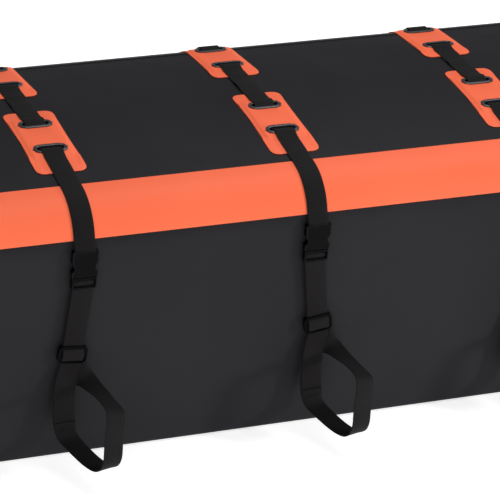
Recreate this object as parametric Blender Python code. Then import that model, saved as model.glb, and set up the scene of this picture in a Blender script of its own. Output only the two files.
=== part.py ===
"""A soft-sided cargo bag for a rear hitch rack, with three straps over its lid.

Metres, +Z up. The origin is at the middle of the underside, X runs along the bag, and the front
face looks towards -Y. Every strap end is built once, in the frame of the wall that it hangs on
(x across, out of the wall, z up), and set at three places on the front and three on the back.
"""

from math import acos, atan2, cos, pi, radians, sin, sqrt, tan

import bmesh
import bpy
from mathutils import Matrix, Vector

GAP = 0.0003                   # between pieces that touch

# Bag body
LENGTH = 1.500
DEPTH = 0.610
HEIGHT = 0.500
WALL = 0.003                   # coated tarpaulin on a foam stiffener
CORNER_RADIUS = 0.110          # upright corners, seen from above
SHOULDER_RADIUS = 0.082        # rounded top edge
CROWN_ANGLE = radians(9)       # slope at which the lid leaves the rounded edge
CROWN_CORNER = 0.2             # corner radius of the crown's contours, per metre of depth left
FOOT_RADIUS = 0.007
RIM_TURN = radians(22)         # how far round the rounded top edge the tub's rim lies
MOUTH = 0.008                  # from the tub's rim to the lid's edge

# Orange storm flap over the zip
FLAP_THICKNESS = 0.0015
FLAP_LAP = 0.007               # how far its free edge hangs below the rim
FLAP_REACH = 0.086             # how far it runs onto the top, from the front face
FLAP_RETURN = 0.120            # how far it runs along each end, past the front corner

# Zip and hinge strip
TAPE_THICKNESS = 0.0008
TAPE_LAP = 0.010               # how far a tape runs behind its edge
CHAIN_THICKNESS = 0.0024
ZIP_STOP = 0.020               # from the zip's rear end to the start of the back corner
MESH_GAP = 0.0012              # groove between the two closed halves, for the slider's post
HINGE_THICKNESS = 0.0012
SLIDER_LENGTH = 0.013
SLIDER_HEIGHT = 0.011
SLIDER_PLATE = 0.0014
SLIDER_POST = 0.0006
SLIDER_CORNER = 0.0025
SLIDER_CLEARANCE = 0.0010      # behind the tapes, whose backs bow inwards
SLIDER_REST = 0.010            # from the zip's rear end to the slider's middle
BAIL_LENGTH = 0.0105
BAIL_WIDTH = 0.0020
BAIL_BAR = 0.0010
BAIL_BEVEL = 0.0006
PULL_LENGTH = 0.032
PULL_WIDTH = 0.009
PULL_THICKNESS = 0.0016
PULL_CORNER = 0.0022
PULL_WINDOW = 0.0055           # opening in the pull, along its length, for the bail
PULL_WINDOW_SIDE = 0.0013      # room on each side of the bail in that opening
PULL_EYE = 0.0016              # radius of the hole near the pull's end
PULL_EYE_MARGIN = 0.0042

# Straps
WEB_WIDTH = 0.038
WEB_THICKNESS = 0.0016
SLACK = 0.0002                 # extra lift of the webbing where it goes over an edge
STEP_DOWN = 0.006              # length in which the webbing comes down from an edge
SEWN_END = 0.011               # doubled webbing over a female half, up to where it is sewn
STRAP_SPACING = 0.425
LEANS = {"left": -0.015, "middle": 0.021, "right": -0.004}

# Patches and eyelets, placed by the distance of their slots from the nearer long wall
PATCH_WIDTH = 0.092
PATCH_THICKNESS = 0.0014
PATCH_CORNER = 0.014
PATCH_OUTER_MARGIN = 0.072     # from the outer slot to the patch's outer end
PATCH_INNER_MARGIN = 0.052
SLOT_PITCH = 0.086             # between the two slots of one patch
NEAR_SLOTS = {"left": 0.196, "middle": 0.182, "right": 0.194}     # outer slot, from the front wall
FAR_SLOT = 0.072               # outer slot of each back patch, from the back wall
TUNNEL = 0.0025                # lift of the patch over the webbing under it
TUNNEL_HALF = 0.034
TUNNEL_SLOPE = 0.010
TUNNEL_MARGIN = 0.002          # raised part of the patch outside a flange
SLOT_RADIUS = 0.0065
SLOT_HALF_PITCH = 0.018        # from the slot's middle to the centre of each round end
BARREL_WALL = 0.0015
FLANGE_RADIUS = 0.014
FLANGE_THICKNESS = 0.0020
FLANGE_EDGE = 0.0008           # thinning of the flange's outer edge
FLANGE_CROWN = 0.003           # width of the flange's sloping rim

# Side-release buckle
BUCKLE_DROP = 0.022            # from the rim to the female half's top
BUCKLE_WIDTH = 0.046
BUCKLE_THICKNESS = 0.013
BUCKLE_STANDOFF = 0.0005       # from the wall to the buckle's back
BUCKLE_BEVEL = 0.0012
FEMALE_LENGTH = 0.049
FRONT_PLATE = 0.0018
POCKET_DEPTH = 0.012
BAR_DROP = 0.007               # from the female's top to its webbing bar
BAR_RADIUS = 0.0025
CAVITY_DEPTH = 0.033
CAVITY_THICKNESS = 0.009
CHEEK = 0.003
WINDOW_DROP = 0.030
WINDOW_HALF_HEIGHT = 0.010
WINDOW_DEPTH = 0.005
MALE_LENGTH = 0.0230           # part of the male half that shows
MALE_BAR_DROP = 0.0112         # from the mouth to the male half's webbing bar
MALE_BAR_RADIUS = 0.0022
SHOULDER_LENGTH = 0.005
CROSSBAR_HEIGHT = 0.0045
CROSSBAR_THICKNESS = 0.0034
RAIL = 0.0025
PRONG_LENGTH = 0.030
PRONG_WIDTH = 0.0055
PRONG_STEM = 0.0030
PRONG_HEAD = 0.012
PRONG_CLEARANCE = 0.0005
PRONG_TAPER = 0.002            # how far a head runs past its stem
TONGUE_WIDTH = 0.009
TONGUE_BEVEL = 0.001
MALE_SIDE_STEP = 0.001         # the male half is this much narrower on each side
MALE_FACE_STEP = 0.0002        # and this much thinner on each face

# Tri-glide slide
GLIDE_RISE = 0.024             # from the end of the straight webbing to its middle
GLIDE_WIDTH = 0.052
GLIDE_LENGTH = 0.033
GLIDE_BAR = 0.004
GLIDE_CENTRE_BAR = 0.005
GLIDE_PLATE = 0.0024
GLIDE_CORNER = 0.008
GLIDE_SIDE_ROOM = 0.0015       # on each side of the webbing
GLIDE_BAR_REACH = 0.002        # how far the middle bar runs into each side of the frame

ROW_SPACE = 0.0011             # least distance between two rows of points on the skin

# Steps of the round stretches
CORNER_STEPS = 5
SHOULDER_STEPS = 10
CROWN_STEPS = 3
ROUND_STEPS = 6
EYELET_STEPS = 4
LOOP_STEPS = 2
GLIDE_STEPS = 3
FOOT_STEPS = 3
SIDE_SEAM = pi / 2 * 3 / CORNER_STEPS         # turn of a corner at which two side panels of the lid meet
WINDOW_SIDES = 12
ROD_SIDES = 8
EYE_SIDES = 10

# The hanging loop under a tri-glide, from the back layer of webbing to its sewn end. Each point
# holds x from the strap's line, the distance out of the wall and the height, then the direction
# of the webbing's width (x, out, up).
LOOP = (
    ((-0.008, 0.0110, 0.155), (1.00, 0.00, 0.00)),
    ((-0.012, 0.0180, 0.115), (1.00, 0.00, 0.00)),
    ((-0.011, 0.0240, 0.080), (1.00, 0.00, 0.00)),
    ((-0.006, 0.0330, 0.059), (0.99, -0.10, 0.00)),
    ((0.003, 0.0530, 0.049), (0.98, -0.19, 0.00)),
    ((0.019, 0.0980, 0.042), (0.97, -0.22, 0.00)),
    ((0.032, 0.1260, 0.045), (0.97, -0.22, 0.00)),
    ((0.040, 0.1350, 0.064), (0.97, -0.22, 0.00)),
    ((0.043, 0.1290, 0.100), (0.97, -0.22, 0.00)),
    ((0.046, 0.1240, 0.135), (0.97, -0.22, 0.00)),
    ((0.046, 0.1130, 0.153), (0.93, -0.25, -0.20)),
    ((0.043, 0.0800, 0.154), (0.92, -0.22, -0.28)),
    ((0.038, 0.0420, 0.152), (0.96, -0.20, -0.12)),
    ((0.029, 0.0150, 0.157), (0.99, -0.05, 0.10)),
    ((0.017, 0.0052, 0.167), (0.96, 0.00, 0.26)),
    ((0.009, 0.0049, 0.180), (0.96, 0.00, 0.26)),
)
TAIL = ((-0.009, 0.0265, 0.070), (-0.011, 0.0205, 0.115), (-0.008, 0.0132, 0.155))
STRAIGHT_END = 0.185           # height where the doubled webbing starts to curve into the loop

# Worked out from the sizes above
CROWN_START = SHOULDER_RADIUS * (1 - sin(CROWN_ANGLE))
CROWN_WIDTH = DEPTH / 2 - CROWN_START
CROWN_RISE = tan(CROWN_ANGLE) / 2 * CROWN_WIDTH
SHOULDER_CENTRE = HEIGHT - CROWN_RISE - SHOULDER_RADIUS * cos(CROWN_ANGLE)
SHOULDER_ARC = SHOULDER_RADIUS * (pi / 2 - CROWN_ANGLE)
HALF_RUN = SHOULDER_CENTRE + SHOULDER_ARC + CROWN_WIDTH
LID_SEAM = SHOULDER_CENTRE + SHOULDER_ARC     # run of the weld round the lid's top panel
RIM_HEIGHT = SHOULDER_CENTRE + SHOULDER_RADIUS * sin(RIM_TURN)
FLAP_LOW = RIM_HEIGHT - FLAP_LAP
BUCKLE_TOP = RIM_HEIGHT - BUCKLE_DROP
GLIDE_HEIGHT = STRAIGHT_END + GLIDE_RISE
ZIP_END_Y = DEPTH / 2 - CORNER_RADIUS - ZIP_STOP
CHAIN_FRONT = -WALL / 2 + CHAIN_THICKNESS / 2
BAR_REACH = PULL_THICKNESS / sqrt(2)        # half the diagonal of the pull's square bar
PULL_AXIS_LIFT = GAP + SLIDER_PLATE + GAP + BAR_REACH
WEB_LIFT = GAP + WEB_THICKNESS / 2
PATCH_LOW = GAP + TUNNEL
PATCH_TOP = PATCH_LOW + PATCH_THICKNESS
FLANGE_LOW = PATCH_TOP + GAP
FLANGE_TOP = FLANGE_LOW + FLANGE_THICKNESS
BUCKLE_OUT = BUCKLE_STANDOFF + BUCKLE_THICKNESS / 2
BAR_Z = BUCKLE_TOP - BAR_DROP
MOUTH_Z = BUCKLE_TOP - FEMALE_LENGTH
MALE_LOW = MOUTH_Z - MALE_LENGTH
MALE_BAR_Z = MOUTH_Z - MALE_BAR_DROP
LAYER = (WEB_THICKNESS + GAP) / 2           # half the pitch of two layers of webbing
CROSSBAR_BACK = BUCKLE_THICKNESS / 2 - CROSSBAR_THICKNESS
WEB_OUT = BUCKLE_OUT + CROSSBAR_BACK - GAP - WEB_THICKNESS / 2 - LAYER
COLOURS = {
    "tub": ((0.037, 0.034, 0.038), 0.55),
    "lid": ((0.012, 0.012, 0.013), 0.50),
    "orange": ((1.000, 0.178, 0.080), 0.55),
    "webbing": ((0.010, 0.010, 0.011), 0.85),
    "hardware": ((0.008, 0.008, 0.009), 0.35),
    "zip": ((0.015, 0.015, 0.016), 0.60),
}


def material(name, kind):
    """A material of its own for one piece, in the colour and roughness of its kind."""
    colour, roughness = COLOURS[kind]
    made = bpy.data.materials.new(name)
    made.use_nodes = True
    shader = made.node_tree.nodes["Principled BSDF"]
    shader.inputs["Base Color"].default_value = (*colour, 1)
    shader.inputs["Roughness"].default_value = roughness
    shader.inputs["Metallic"].default_value = 0.0
    return made


def place(name, mesh, kind, location=(0, 0, 0), turn=None, smooth=35):
    """Links a mesh as the named piece, shaded smooth up to an angle."""
    piece = bpy.data.objects.new(name, mesh)
    bpy.context.scene.collection.objects.link(piece)
    piece.data.materials.clear()
    piece.data.materials.append(material(name, kind))
    piece.data.shade_smooth()
    piece.data.set_sharp_from_angle(angle=radians(smooth))
    piece.location = location
    if turn is not None:
        piece.rotation_euler = turn
    return piece


def mesh_of(bm, name):
    """A mesh from a bmesh, with its faces turned outwards."""
    bmesh.ops.recalc_face_normals(bm, faces=bm.faces)
    mesh = bpy.data.meshes.new(name)
    bm.to_mesh(mesh)
    bm.free()
    return mesh


# The bag's section: a run is the distance from the floor, up the wall, over the rounded edge and
# across the lid. The inset is the distance in from the plan outline.

def skin(run, lift=0.0):
    """Inset and height of a point of the outer skin at a run, lifted off the skin."""
    if run <= SHOULDER_CENTRE:
        return -lift, run
    angle = (run - SHOULDER_CENTRE) / SHOULDER_RADIUS
    if run <= SHOULDER_CENTRE + SHOULDER_ARC:
        radius = SHOULDER_RADIUS + lift
        return SHOULDER_RADIUS - radius * cos(angle), SHOULDER_CENTRE + radius * sin(angle)
    left = 1 - (run - SHOULDER_CENTRE - SHOULDER_ARC) / CROWN_WIDTH
    slope = atan2(2 * CROWN_RISE * left, CROWN_WIDTH)
    inset = DEPTH / 2 - left * CROWN_WIDTH
    height = HEIGHT - CROWN_RISE * left * left
    return inset - lift * sin(slope), height + lift * cos(slope)


def run_at(inset):
    """The run at which the skin has come in by this much."""
    if inset >= CROWN_START:
        return SHOULDER_CENTRE + SHOULDER_ARC + inset - CROWN_START
    return SHOULDER_CENTRE + SHOULDER_RADIUS * acos(1 - inset / SHOULDER_RADIUS)


def run_at_height(height):
    """The run at which the skin reaches a height on the wall or the rounded edge."""
    if height <= SHOULDER_CENTRE:
        return height
    return SHOULDER_CENTRE + SHOULDER_RADIUS * (pi / 2 - acos((height - SHOULDER_CENTRE) / SHOULDER_RADIUS))


def grid_runs():
    """The runs that every piece on the skin has points at, so that their facets are parallel."""
    arc = [SHOULDER_CENTRE + SHOULDER_ARC * i / SHOULDER_STEPS for i in range(SHOULDER_STEPS + 1)]
    crown = [arc[-1] + CROWN_WIDTH * i / CROWN_STEPS for i in range(1, CROWN_STEPS + 1)]
    return arc + crown


def runs_between(start, stop):
    """Start, the grid's runs that lie between, and stop."""
    inner = [run for run in grid_runs() if start + ROW_SPACE < run < stop - ROW_SPACE]
    return [start] + inner + [stop]


def across(run, lift):
    """Y and height of a point on the skin's middle section, for a run from front to back."""
    if run <= HALF_RUN:
        inset, height = skin(run, lift)
        return -DEPTH / 2 + inset, height
    inset, height = skin(2 * HALF_RUN - run, lift)
    return DEPTH / 2 - inset, height


# The bag's plan: stations along its outline, each a function from an inset to a place.

def corner_radius(inset):
    """Radius of the plan's corners at an inset."""
    return max(CORNER_RADIUS - inset, CROWN_CORNER * (DEPTH / 2 - inset))


def corner_station(side_x, side_y, angle):
    """A station on a corner: the angle is 0 at the end wall and 90 degrees at the long wall."""
    def at(inset):
        radius = corner_radius(inset)
        x = LENGTH / 2 - inset - radius + radius * cos(angle)
        y = DEPTH / 2 - inset - radius + radius * sin(angle)
        return side_x * x, side_y * y
    return at


def end_station(side_x, y):
    """A station on an end wall."""
    return lambda inset: (side_x * (LENGTH / 2 - inset), y)


def corner_stations(side_x, side_y, towards_long_wall):
    """The stations round one corner, in the order asked for."""
    angles = [pi / 2 * i / CORNER_STEPS for i in range(CORNER_STEPS + 1)]
    if not towards_long_wall:
        angles.reverse()
    return [corner_station(side_x, side_y, angle) for angle in angles]


def outline_stations():
    """The whole outline, anticlockwise from the front left corner."""
    return (corner_stations(-1, -1, True) + corner_stations(1, -1, False)
            + corner_stations(1, 1, True) + corner_stations(-1, 1, False))


def front_stations(y_end):
    """From y_end on the left end wall, round the front, to y_end on the right end wall."""
    return ([end_station(-1, y_end)] + corner_stations(-1, -1, True)
            + corner_stations(1, -1, False) + [end_station(1, y_end)])


def back_stations(y_end):
    """From y_end on the right end wall, round the back, to y_end on the left end wall."""
    return ([end_station(1, y_end)] + corner_stations(1, 1, True)
            + corner_stations(-1, 1, False) + [end_station(-1, y_end)])


def swept_strip(name, profile, stations):
    """A closed profile of (inset, height) points carried along the stations, with end faces."""
    bm = bmesh.new()
    rings = []
    for station in stations:
        rings.append([bm.verts.new((*station(inset), height)) for inset, height in profile])
    count = len(profile)
    for near, far in zip(rings, rings[1:]):
        for i in range(count):
            j = (i + 1) % count
            bm.faces.new((near[i], near[j], far[j], far[i]))
    bm.faces.new(rings[0])
    bm.faces.new(rings[-1])
    return mesh_of(bm, name)


def swept_shell(name, profile):
    """An open profile carried round the whole outline, with its first and last loops filled."""
    bm = bmesh.new()
    rings = []
    for station in outline_stations():
        rings.append([bm.verts.new((*station(inset), height)) for inset, height in profile])
    for near, far in zip(rings, rings[1:] + rings[:1]):
        for i in range(len(profile) - 1):
            bm.faces.new((near[i], near[i + 1], far[i + 1], far[i]))
    bm.faces.new([ring[0] for ring in rings])
    bm.faces.new([ring[-1] for ring in rings])
    return mesh_of(bm, name)


def tub():
    """Floor and four walls, open at the top, with a rounded foot."""
    floor_inset = 2 * FOOT_RADIUS
    foot = [pi / 2 * i / FOOT_STEPS for i in range(FOOT_STEPS + 1)]
    outside = [(floor_inset, 0)]
    outside += [(FOOT_RADIUS * (1 - sin(a)), FOOT_RADIUS * (1 - cos(a))) for a in foot]
    inner_radius = FOOT_RADIUS - WALL
    inside = [(floor_inset, WALL)]
    inside += [(FOOT_RADIUS - inner_radius * sin(a), FOOT_RADIUS - inner_radius * cos(a)) for a in foot]
    wall = runs_between(SHOULDER_CENTRE, run_at_height(RIM_HEIGHT))
    outside += [skin(run) for run in wall]
    inside += [skin(run, -WALL) for run in wall]
    place("tub", swept_shell("tub", outside + inside[::-1]), "tub")


def corner_part(side_x, side_y, start, stop):
    """The stations round part of one corner, from one angle to another."""
    low, high = min(start, stop), max(start, stop)
    inner = [pi / 2 * i / CORNER_STEPS for i in range(1, CORNER_STEPS)]
    angles = [low] + [angle for angle in inner if low < angle < high] + [high]
    if start > stop:
        angles.reverse()
    return [corner_station(side_x, side_y, angle) for angle in angles]


def lid_sides():
    """The lid's four side panels: from the edge over the zip, over the rounded edge, to the seam."""
    runs = runs_between(run_at_height(RIM_HEIGHT + MOUTH), LID_SEAM - GAP / 2)
    profile = [skin(run) for run in runs] + [skin(run, -WALL) for run in reversed(runs)]
    half_gap = GAP / CORNER_RADIUS / 2
    for name, side_y in (("lid_side_front", -1), ("lid_side_back", 1)):
        end = SIDE_SEAM + half_gap
        stations = corner_part(-1, side_y, end, pi / 2) + corner_part(1, side_y, pi / 2, end)
        place(name, swept_strip(name, profile, stations), "lid")
    for name, side_x in (("lid_side_left", -1), ("lid_side_right", 1)):
        end = SIDE_SEAM - half_gap
        stations = corner_part(side_x, -1, end, 0) + corner_part(side_x, 1, 0, end)
        place(name, swept_strip(name, profile, stations), "lid")


def lid_top():
    """The domed top panel, welded to the side panels along the seam."""
    runs = runs_between(LID_SEAM + GAP / 2, HALF_RUN - WALL)
    outside = [skin(run) for run in reversed(runs)]
    inside = [skin(run, -WALL) for run in runs]
    place("lid_top", swept_shell("lid_top", outside + inside), "lid")


def storm_flap():
    """The orange band: welded to the lid along its top edge, its free edge over the zip."""
    runs = runs_between(run_at_height(FLAP_LOW), run_at(FLAP_REACH))
    outside = [skin(run, GAP + FLAP_THICKNESS) for run in reversed(runs)]
    inside = [skin(run, GAP) for run in runs]
    y_end = -(DEPTH / 2 - CORNER_RADIUS) + FLAP_RETURN
    place("storm_flap", swept_strip("storm_flap", outside + inside, front_stations(y_end)), "orange")


def zip_half(name, edge, tape_end, middle):
    """One tape with its row of teeth: the tape behind an edge, the teeth in the mouth."""
    def at(height, lift):
        return skin(run_at_height(height), lift)
    back = -WALL - GAP
    front = CHAIN_FRONT
    step = GAP if edge > middle else -GAP
    profile = [at(tape_end, back), at(tape_end, back - TAPE_THICKNESS), at(middle, back - TAPE_THICKNESS),
               at(middle, front), at(edge - step, front), at(edge - step, back)]
    return swept_strip(name, profile, front_stations(ZIP_END_Y))


def zip_chain():
    """Both halves of the zip, closed, round the front and along both ends."""
    middle = RIM_HEIGHT + MOUTH / 2
    low = zip_half("zip_lower", RIM_HEIGHT, RIM_HEIGHT - TAPE_LAP, middle - MESH_GAP / 2)
    high = zip_half("zip_upper", RIM_HEIGHT + MOUTH, RIM_HEIGHT + MOUTH + TAPE_LAP, middle + MESH_GAP / 2)
    place("zip_lower", low, "zip")
    place("zip_upper", high, "zip")


def hinge_strip():
    """The strip that joins the lid to the tub along the back: a rib in the mouth on a backing."""
    low = RIM_HEIGHT + GAP
    high = RIM_HEIGHT + MOUTH - GAP

    def at(height, lift):
        return skin(run_at_height(height), lift)
    back = -WALL - GAP
    rear = back - HINGE_THICKNESS
    profile = [at(low - TAPE_LAP, rear), at(low, rear), at(high, rear), at(high + TAPE_LAP, rear),
               at(high + TAPE_LAP, back), at(high, back), at(high, 0), at(low, 0), at(low, back),
               at(low - TAPE_LAP, back)]
    place("hinge_strip", swept_strip("hinge_strip", profile, back_stations(ZIP_END_Y + GAP)), "tub")


def block(size, centre, bevel=0.0, axis=None, steps=1):
    """A box with its edges bevelled: all of them, or those along one axis."""
    bm = bmesh.new()
    bmesh.ops.create_cube(bm, size=1, matrix=Matrix.Translation(centre) @ Matrix.Diagonal((*size, 1)))
    if bevel:
        edges = bm.edges[:]
        if axis is not None:
            edges = [e for e in edges if abs((e.verts[0].co - e.verts[1].co)[axis]) > 0.9 * size[axis]]
        bmesh.ops.bevel(bm, geom=edges, offset=bevel, segments=steps, profile=0.5, affect="EDGES")
    return mesh_of(bm, "block")


def drum(radius, length, sides, where):
    """A cylinder about Z, carried to its place by a matrix."""
    bm = bmesh.new()
    bmesh.ops.create_cone(bm, cap_ends=True, segments=sides, radius1=radius, radius2=radius,
                          depth=length, matrix=where)
    return mesh_of(bm, "drum")


def rod(radius, length, centre):
    """A round bar along X."""
    return drum(radius, length, ROD_SIDES, Matrix.Translation(centre) @ Matrix.Rotation(pi / 2, 4, "Y"))


def combine(base, *steps):
    """The base mesh after each (operation, mesh) step of a Boolean."""
    for operation, tool in steps:
        work = bpy.data.objects.new("work", base)
        other = bpy.data.objects.new("other", tool)
        for item in (work, other):
            bpy.context.scene.collection.objects.link(item)
        boolean = work.modifiers.new("Boolean", "BOOLEAN")
        boolean.operation = operation
        boolean.solver = "EXACT"
        boolean.object = other
        evaluated = work.evaluated_get(bpy.context.evaluated_depsgraph_get())
        base = bpy.data.meshes.new_from_object(evaluated)
        for item in (work, other):
            bpy.data.objects.remove(item)
    return base


def chain_frame():
    """Where the slider rests on the left end: y forwards along the chain, x across it, z out."""
    middle = run_at_height(RIM_HEIGHT + MOUTH / 2)
    inset, height = skin(middle)
    angle = (middle - SHOULDER_CENTRE) / SHOULDER_RADIUS
    out = Vector((-cos(angle), 0, sin(angle)))
    forward = Vector((0, -1, 0))
    over = forward.cross(out)
    frame = Matrix((over, forward, out)).transposed().to_4x4()
    frame.translation = (-LENGTH / 2 + inset, ZIP_END_Y - SLIDER_REST, height)
    return frame


def zip_slider():
    """Two plates joined by a thin post through the chain, with a bail on the outer one."""
    plate = (SLIDER_HEIGHT, SLIDER_LENGTH, SLIDER_PLATE)
    outer_z = GAP + SLIDER_PLATE / 2
    inner_z = -WALL - TAPE_THICKNESS - SLIDER_CLEARANCE - SLIDER_PLATE / 2
    outer = block(plate, (0, 0, outer_z), SLIDER_CORNER, 2)
    inner = block(plate, (0, 0, inner_z), SLIDER_CORNER, 2)
    post = block((SLIDER_POST, SLIDER_LENGTH / 2, outer_z - inner_z), (0, 0, (outer_z + inner_z) / 2))
    under = PULL_AXIS_LIFT + BAR_REACH + GAP
    top = under + BAIL_BAR
    bail = block((BAIL_WIDTH, BAIL_LENGTH, top - outer_z), (0, 0, (top + outer_z) / 2), BAIL_BEVEL, 0)
    plate_top = GAP + SLIDER_PLATE
    inside = block((2 * BAIL_WIDTH, BAIL_LENGTH - 2 * BAIL_BAR, 2 * (under - plate_top)), (0, 0, plate_top))
    arch = combine(bail, ("DIFFERENCE", inside))
    return combine(outer, ("UNION", post), ("UNION", inner), ("UNION", arch))


def zip_pull():
    """The pull tab, lying forwards from its bar under the bail."""
    bar = PULL_THICKNESS
    deep = 3 * PULL_THICKNESS
    size = (PULL_WIDTH, PULL_LENGTH, PULL_THICKNESS)
    tab = block(size, (0, PULL_LENGTH / 2 - bar / 2, 0), PULL_CORNER, 2, 2)
    window = block((BAIL_WIDTH + 2 * PULL_WINDOW_SIDE, PULL_WINDOW, deep), (0, bar / 2 + PULL_WINDOW / 2, 0))
    eye = drum(PULL_EYE, deep, EYE_SIDES, Matrix.Translation((0, PULL_LENGTH - bar / 2 - PULL_EYE_MARGIN, 0)))
    return combine(tab, ("DIFFERENCE", window), ("DIFFERENCE", eye))


def zip_hardware():
    """The slider at the rear of the left end, and its pull tab hinged under the bail."""
    frame = chain_frame()
    turn = frame.to_euler()
    place("zip_slider", zip_slider(), "hardware", frame.translation, turn)
    place("zip_pull", zip_pull(), "hardware", frame @ Vector((0, 0, PULL_AXIS_LIFT)), turn)


def female_half():
    """The buckle's female half, about its webbing bar's axis in z and its middle in thickness."""
    top = BAR_DROP
    low = BAR_DROP - FEMALE_LENGTH
    inner = BUCKLE_WIDTH - 2 * CHEEK
    body = block((BUCKLE_WIDTH, BUCKLE_THICKNESS, FEMALE_LENGTH), (0, 0, (top + low) / 2), BUCKLE_BEVEL)
    pocket_front = FRONT_PLATE - BUCKLE_THICKNESS / 2
    pocket = block((inner, 2 * BUCKLE_THICKNESS, 2 * POCKET_DEPTH), (0, pocket_front + BUCKLE_THICKNESS, top))
    cavity = block((inner, CAVITY_THICKNESS, 2 * CAVITY_DEPTH), (0, 0, low))
    window_x = BUCKLE_WIDTH / 2 + WINDOW_HALF_HEIGHT - WINDOW_DEPTH
    windows = []
    for side in (-1, 1):
        where = Matrix.Translation((side * window_x, 0, top - WINDOW_DROP)) @ Matrix.Rotation(pi / 2, 4, "X")
        windows.append(("DIFFERENCE", drum(WINDOW_HALF_HEIGHT, 2 * BUCKLE_THICKNESS, WINDOW_SIDES, where)))
    bar = rod(BAR_RADIUS, inner + CHEEK, (0, 0, 0))
    return combine(body, ("DIFFERENCE", pocket), ("DIFFERENCE", cavity), *windows, ("UNION", bar))


def male_half():
    """The buckle's male half, about the same point as the female half."""
    mouth = BAR_DROP - FEMALE_LENGTH - GAP
    low = mouth + GAP - MALE_LENGTH
    width = BUCKLE_WIDTH - 2 * MALE_SIDE_STEP
    thickness = BUCKLE_THICKNESS - 2 * MALE_FACE_STEP
    body = block((width, thickness, mouth - low), (0, 0, (mouth + low) / 2), BUCKLE_BEVEL)
    inner = width - 2 * RAIL
    frame_top = mouth - SHOULDER_LENGTH
    opening = block((inner, 2 * thickness, frame_top - low - CROSSBAR_HEIGHT),
                    (0, 0, (frame_top + low + CROSSBAR_HEIGHT) / 2))
    behind = block((inner, thickness, 3 * CROSSBAR_HEIGHT), (0, -CROSSBAR_BACK + thickness / 2, low))
    bar = rod(MALE_BAR_RADIUS, inner + RAIL, (0, 0, BAR_DROP - FEMALE_LENGTH - MALE_BAR_DROP))
    prong_thickness = CAVITY_THICKNESS - 4 * PRONG_CLEARANCE
    root = mouth - SHOULDER_LENGTH / 2
    tip = mouth + PRONG_LENGTH
    stem_tip = tip - PRONG_TAPER
    reach = (BUCKLE_WIDTH - 2 * CHEEK) / 2 - PRONG_CLEARANCE
    steps = [("DIFFERENCE", opening), ("DIFFERENCE", behind), ("UNION", bar)]
    for side in (-1, 1):
        stem_x = side * (reach - PRONG_WIDTH + PRONG_STEM / 2)
        head_x = side * (reach - PRONG_WIDTH / 2)
        stem = block((PRONG_STEM, prong_thickness, stem_tip - root), (stem_x, 0, (stem_tip + root) / 2))
        head = block((PRONG_WIDTH, prong_thickness - MALE_FACE_STEP, PRONG_HEAD),
                     (head_x, 0, tip - PRONG_HEAD / 2), BUCKLE_BEVEL)
        steps += [("UNION", stem), ("UNION", head)]
    tongue = block((TONGUE_WIDTH, prong_thickness, stem_tip - root), (0, 0, (stem_tip + root) / 2),
                   TONGUE_BEVEL)
    steps.append(("UNION", tongue))
    return combine(body, *steps)


def glide():
    """The tri-glide: end bars in front of the doubled webbing and a middle bar behind it."""
    front = LAYER + WEB_THICKNESS / 2 + GAP
    half_depth = front + GLIDE_PLATE
    inner = WEB_WIDTH + 2 * GLIDE_SIDE_ROOM
    body = block((GLIDE_WIDTH, 2 * half_depth, GLIDE_LENGTH), (0, 0, 0), GLIDE_CORNER, 1, GLIDE_STEPS)
    opening = block((inner, 4 * half_depth, GLIDE_LENGTH - 2 * GLIDE_BAR), (0, 0, 0))
    behind = block((inner, 4 * half_depth, 2 * GLIDE_LENGTH), (0, 2 * half_depth - front, 0))
    bar = block((inner + 2 * GLIDE_BAR_REACH, GLIDE_PLATE, GLIDE_CENTRE_BAR),
                (0, front + GLIDE_PLATE / 2 - GAP / 3, 0))
    return combine(body, ("DIFFERENCE", opening), ("DIFFERENCE", behind), ("UNION", bar))


def smooth_path(points, steps):
    """A Catmull-Rom curve through vectors of any length, with a few steps in each span."""
    padded = [2 * points[0] - points[1]] + list(points) + [2 * points[-1] - points[-2]]
    path = []
    for a, b, c, d in zip(padded, padded[1:], padded[2:], padded[3:]):
        for i in range(steps):
            t = i / steps
            path.append(0.5 * (2 * b + (c - a) * t + (2 * a - 5 * b + 4 * c - d) * t * t
                               + (3 * b - a - 3 * c + d) * t * t * t))
    path.append(points[-1])
    return path


def ribbon(name, centres, widths):
    """Webbing along a path of centres, with the direction of its width at each."""
    bm = bmesh.new()
    rings = []
    last = len(centres) - 1
    for i, (centre, width) in enumerate(zip(centres, widths)):
        tangent = (centres[min(i + 1, last)] - centres[max(i - 1, 0)]).normalized()
        side = (width - tangent * width.dot(tangent)).normalized() * WEB_WIDTH / 2
        face = tangent.cross(side).normalized() * WEB_THICKNESS / 2
        corners = (centre - side - face, centre + side - face, centre + side + face, centre - side + face)
        rings.append([bm.verts.new(corner) for corner in corners])
    for near, far in zip(rings, rings[1:]):
        for i in range(4):
            j = (i + 1) % 4
            bm.faces.new((near[i], near[j], far[j], far[i]))
    bm.faces.new(rings[0])
    bm.faces.new(rings[-1])
    bmesh.ops.triangulate(bm, faces=bm.faces)
    return mesh_of(bm, name)


def slot_runs(side):
    """The four slots on a strap's way, as runs from the front: (outer, inner) for each patch."""
    near = run_at(NEAR_SLOTS[side])
    far = 2 * HALF_RUN - run_at(FAR_SLOT)
    return (near, near + SLOT_PITCH), (far, far - SLOT_PITCH)


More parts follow.
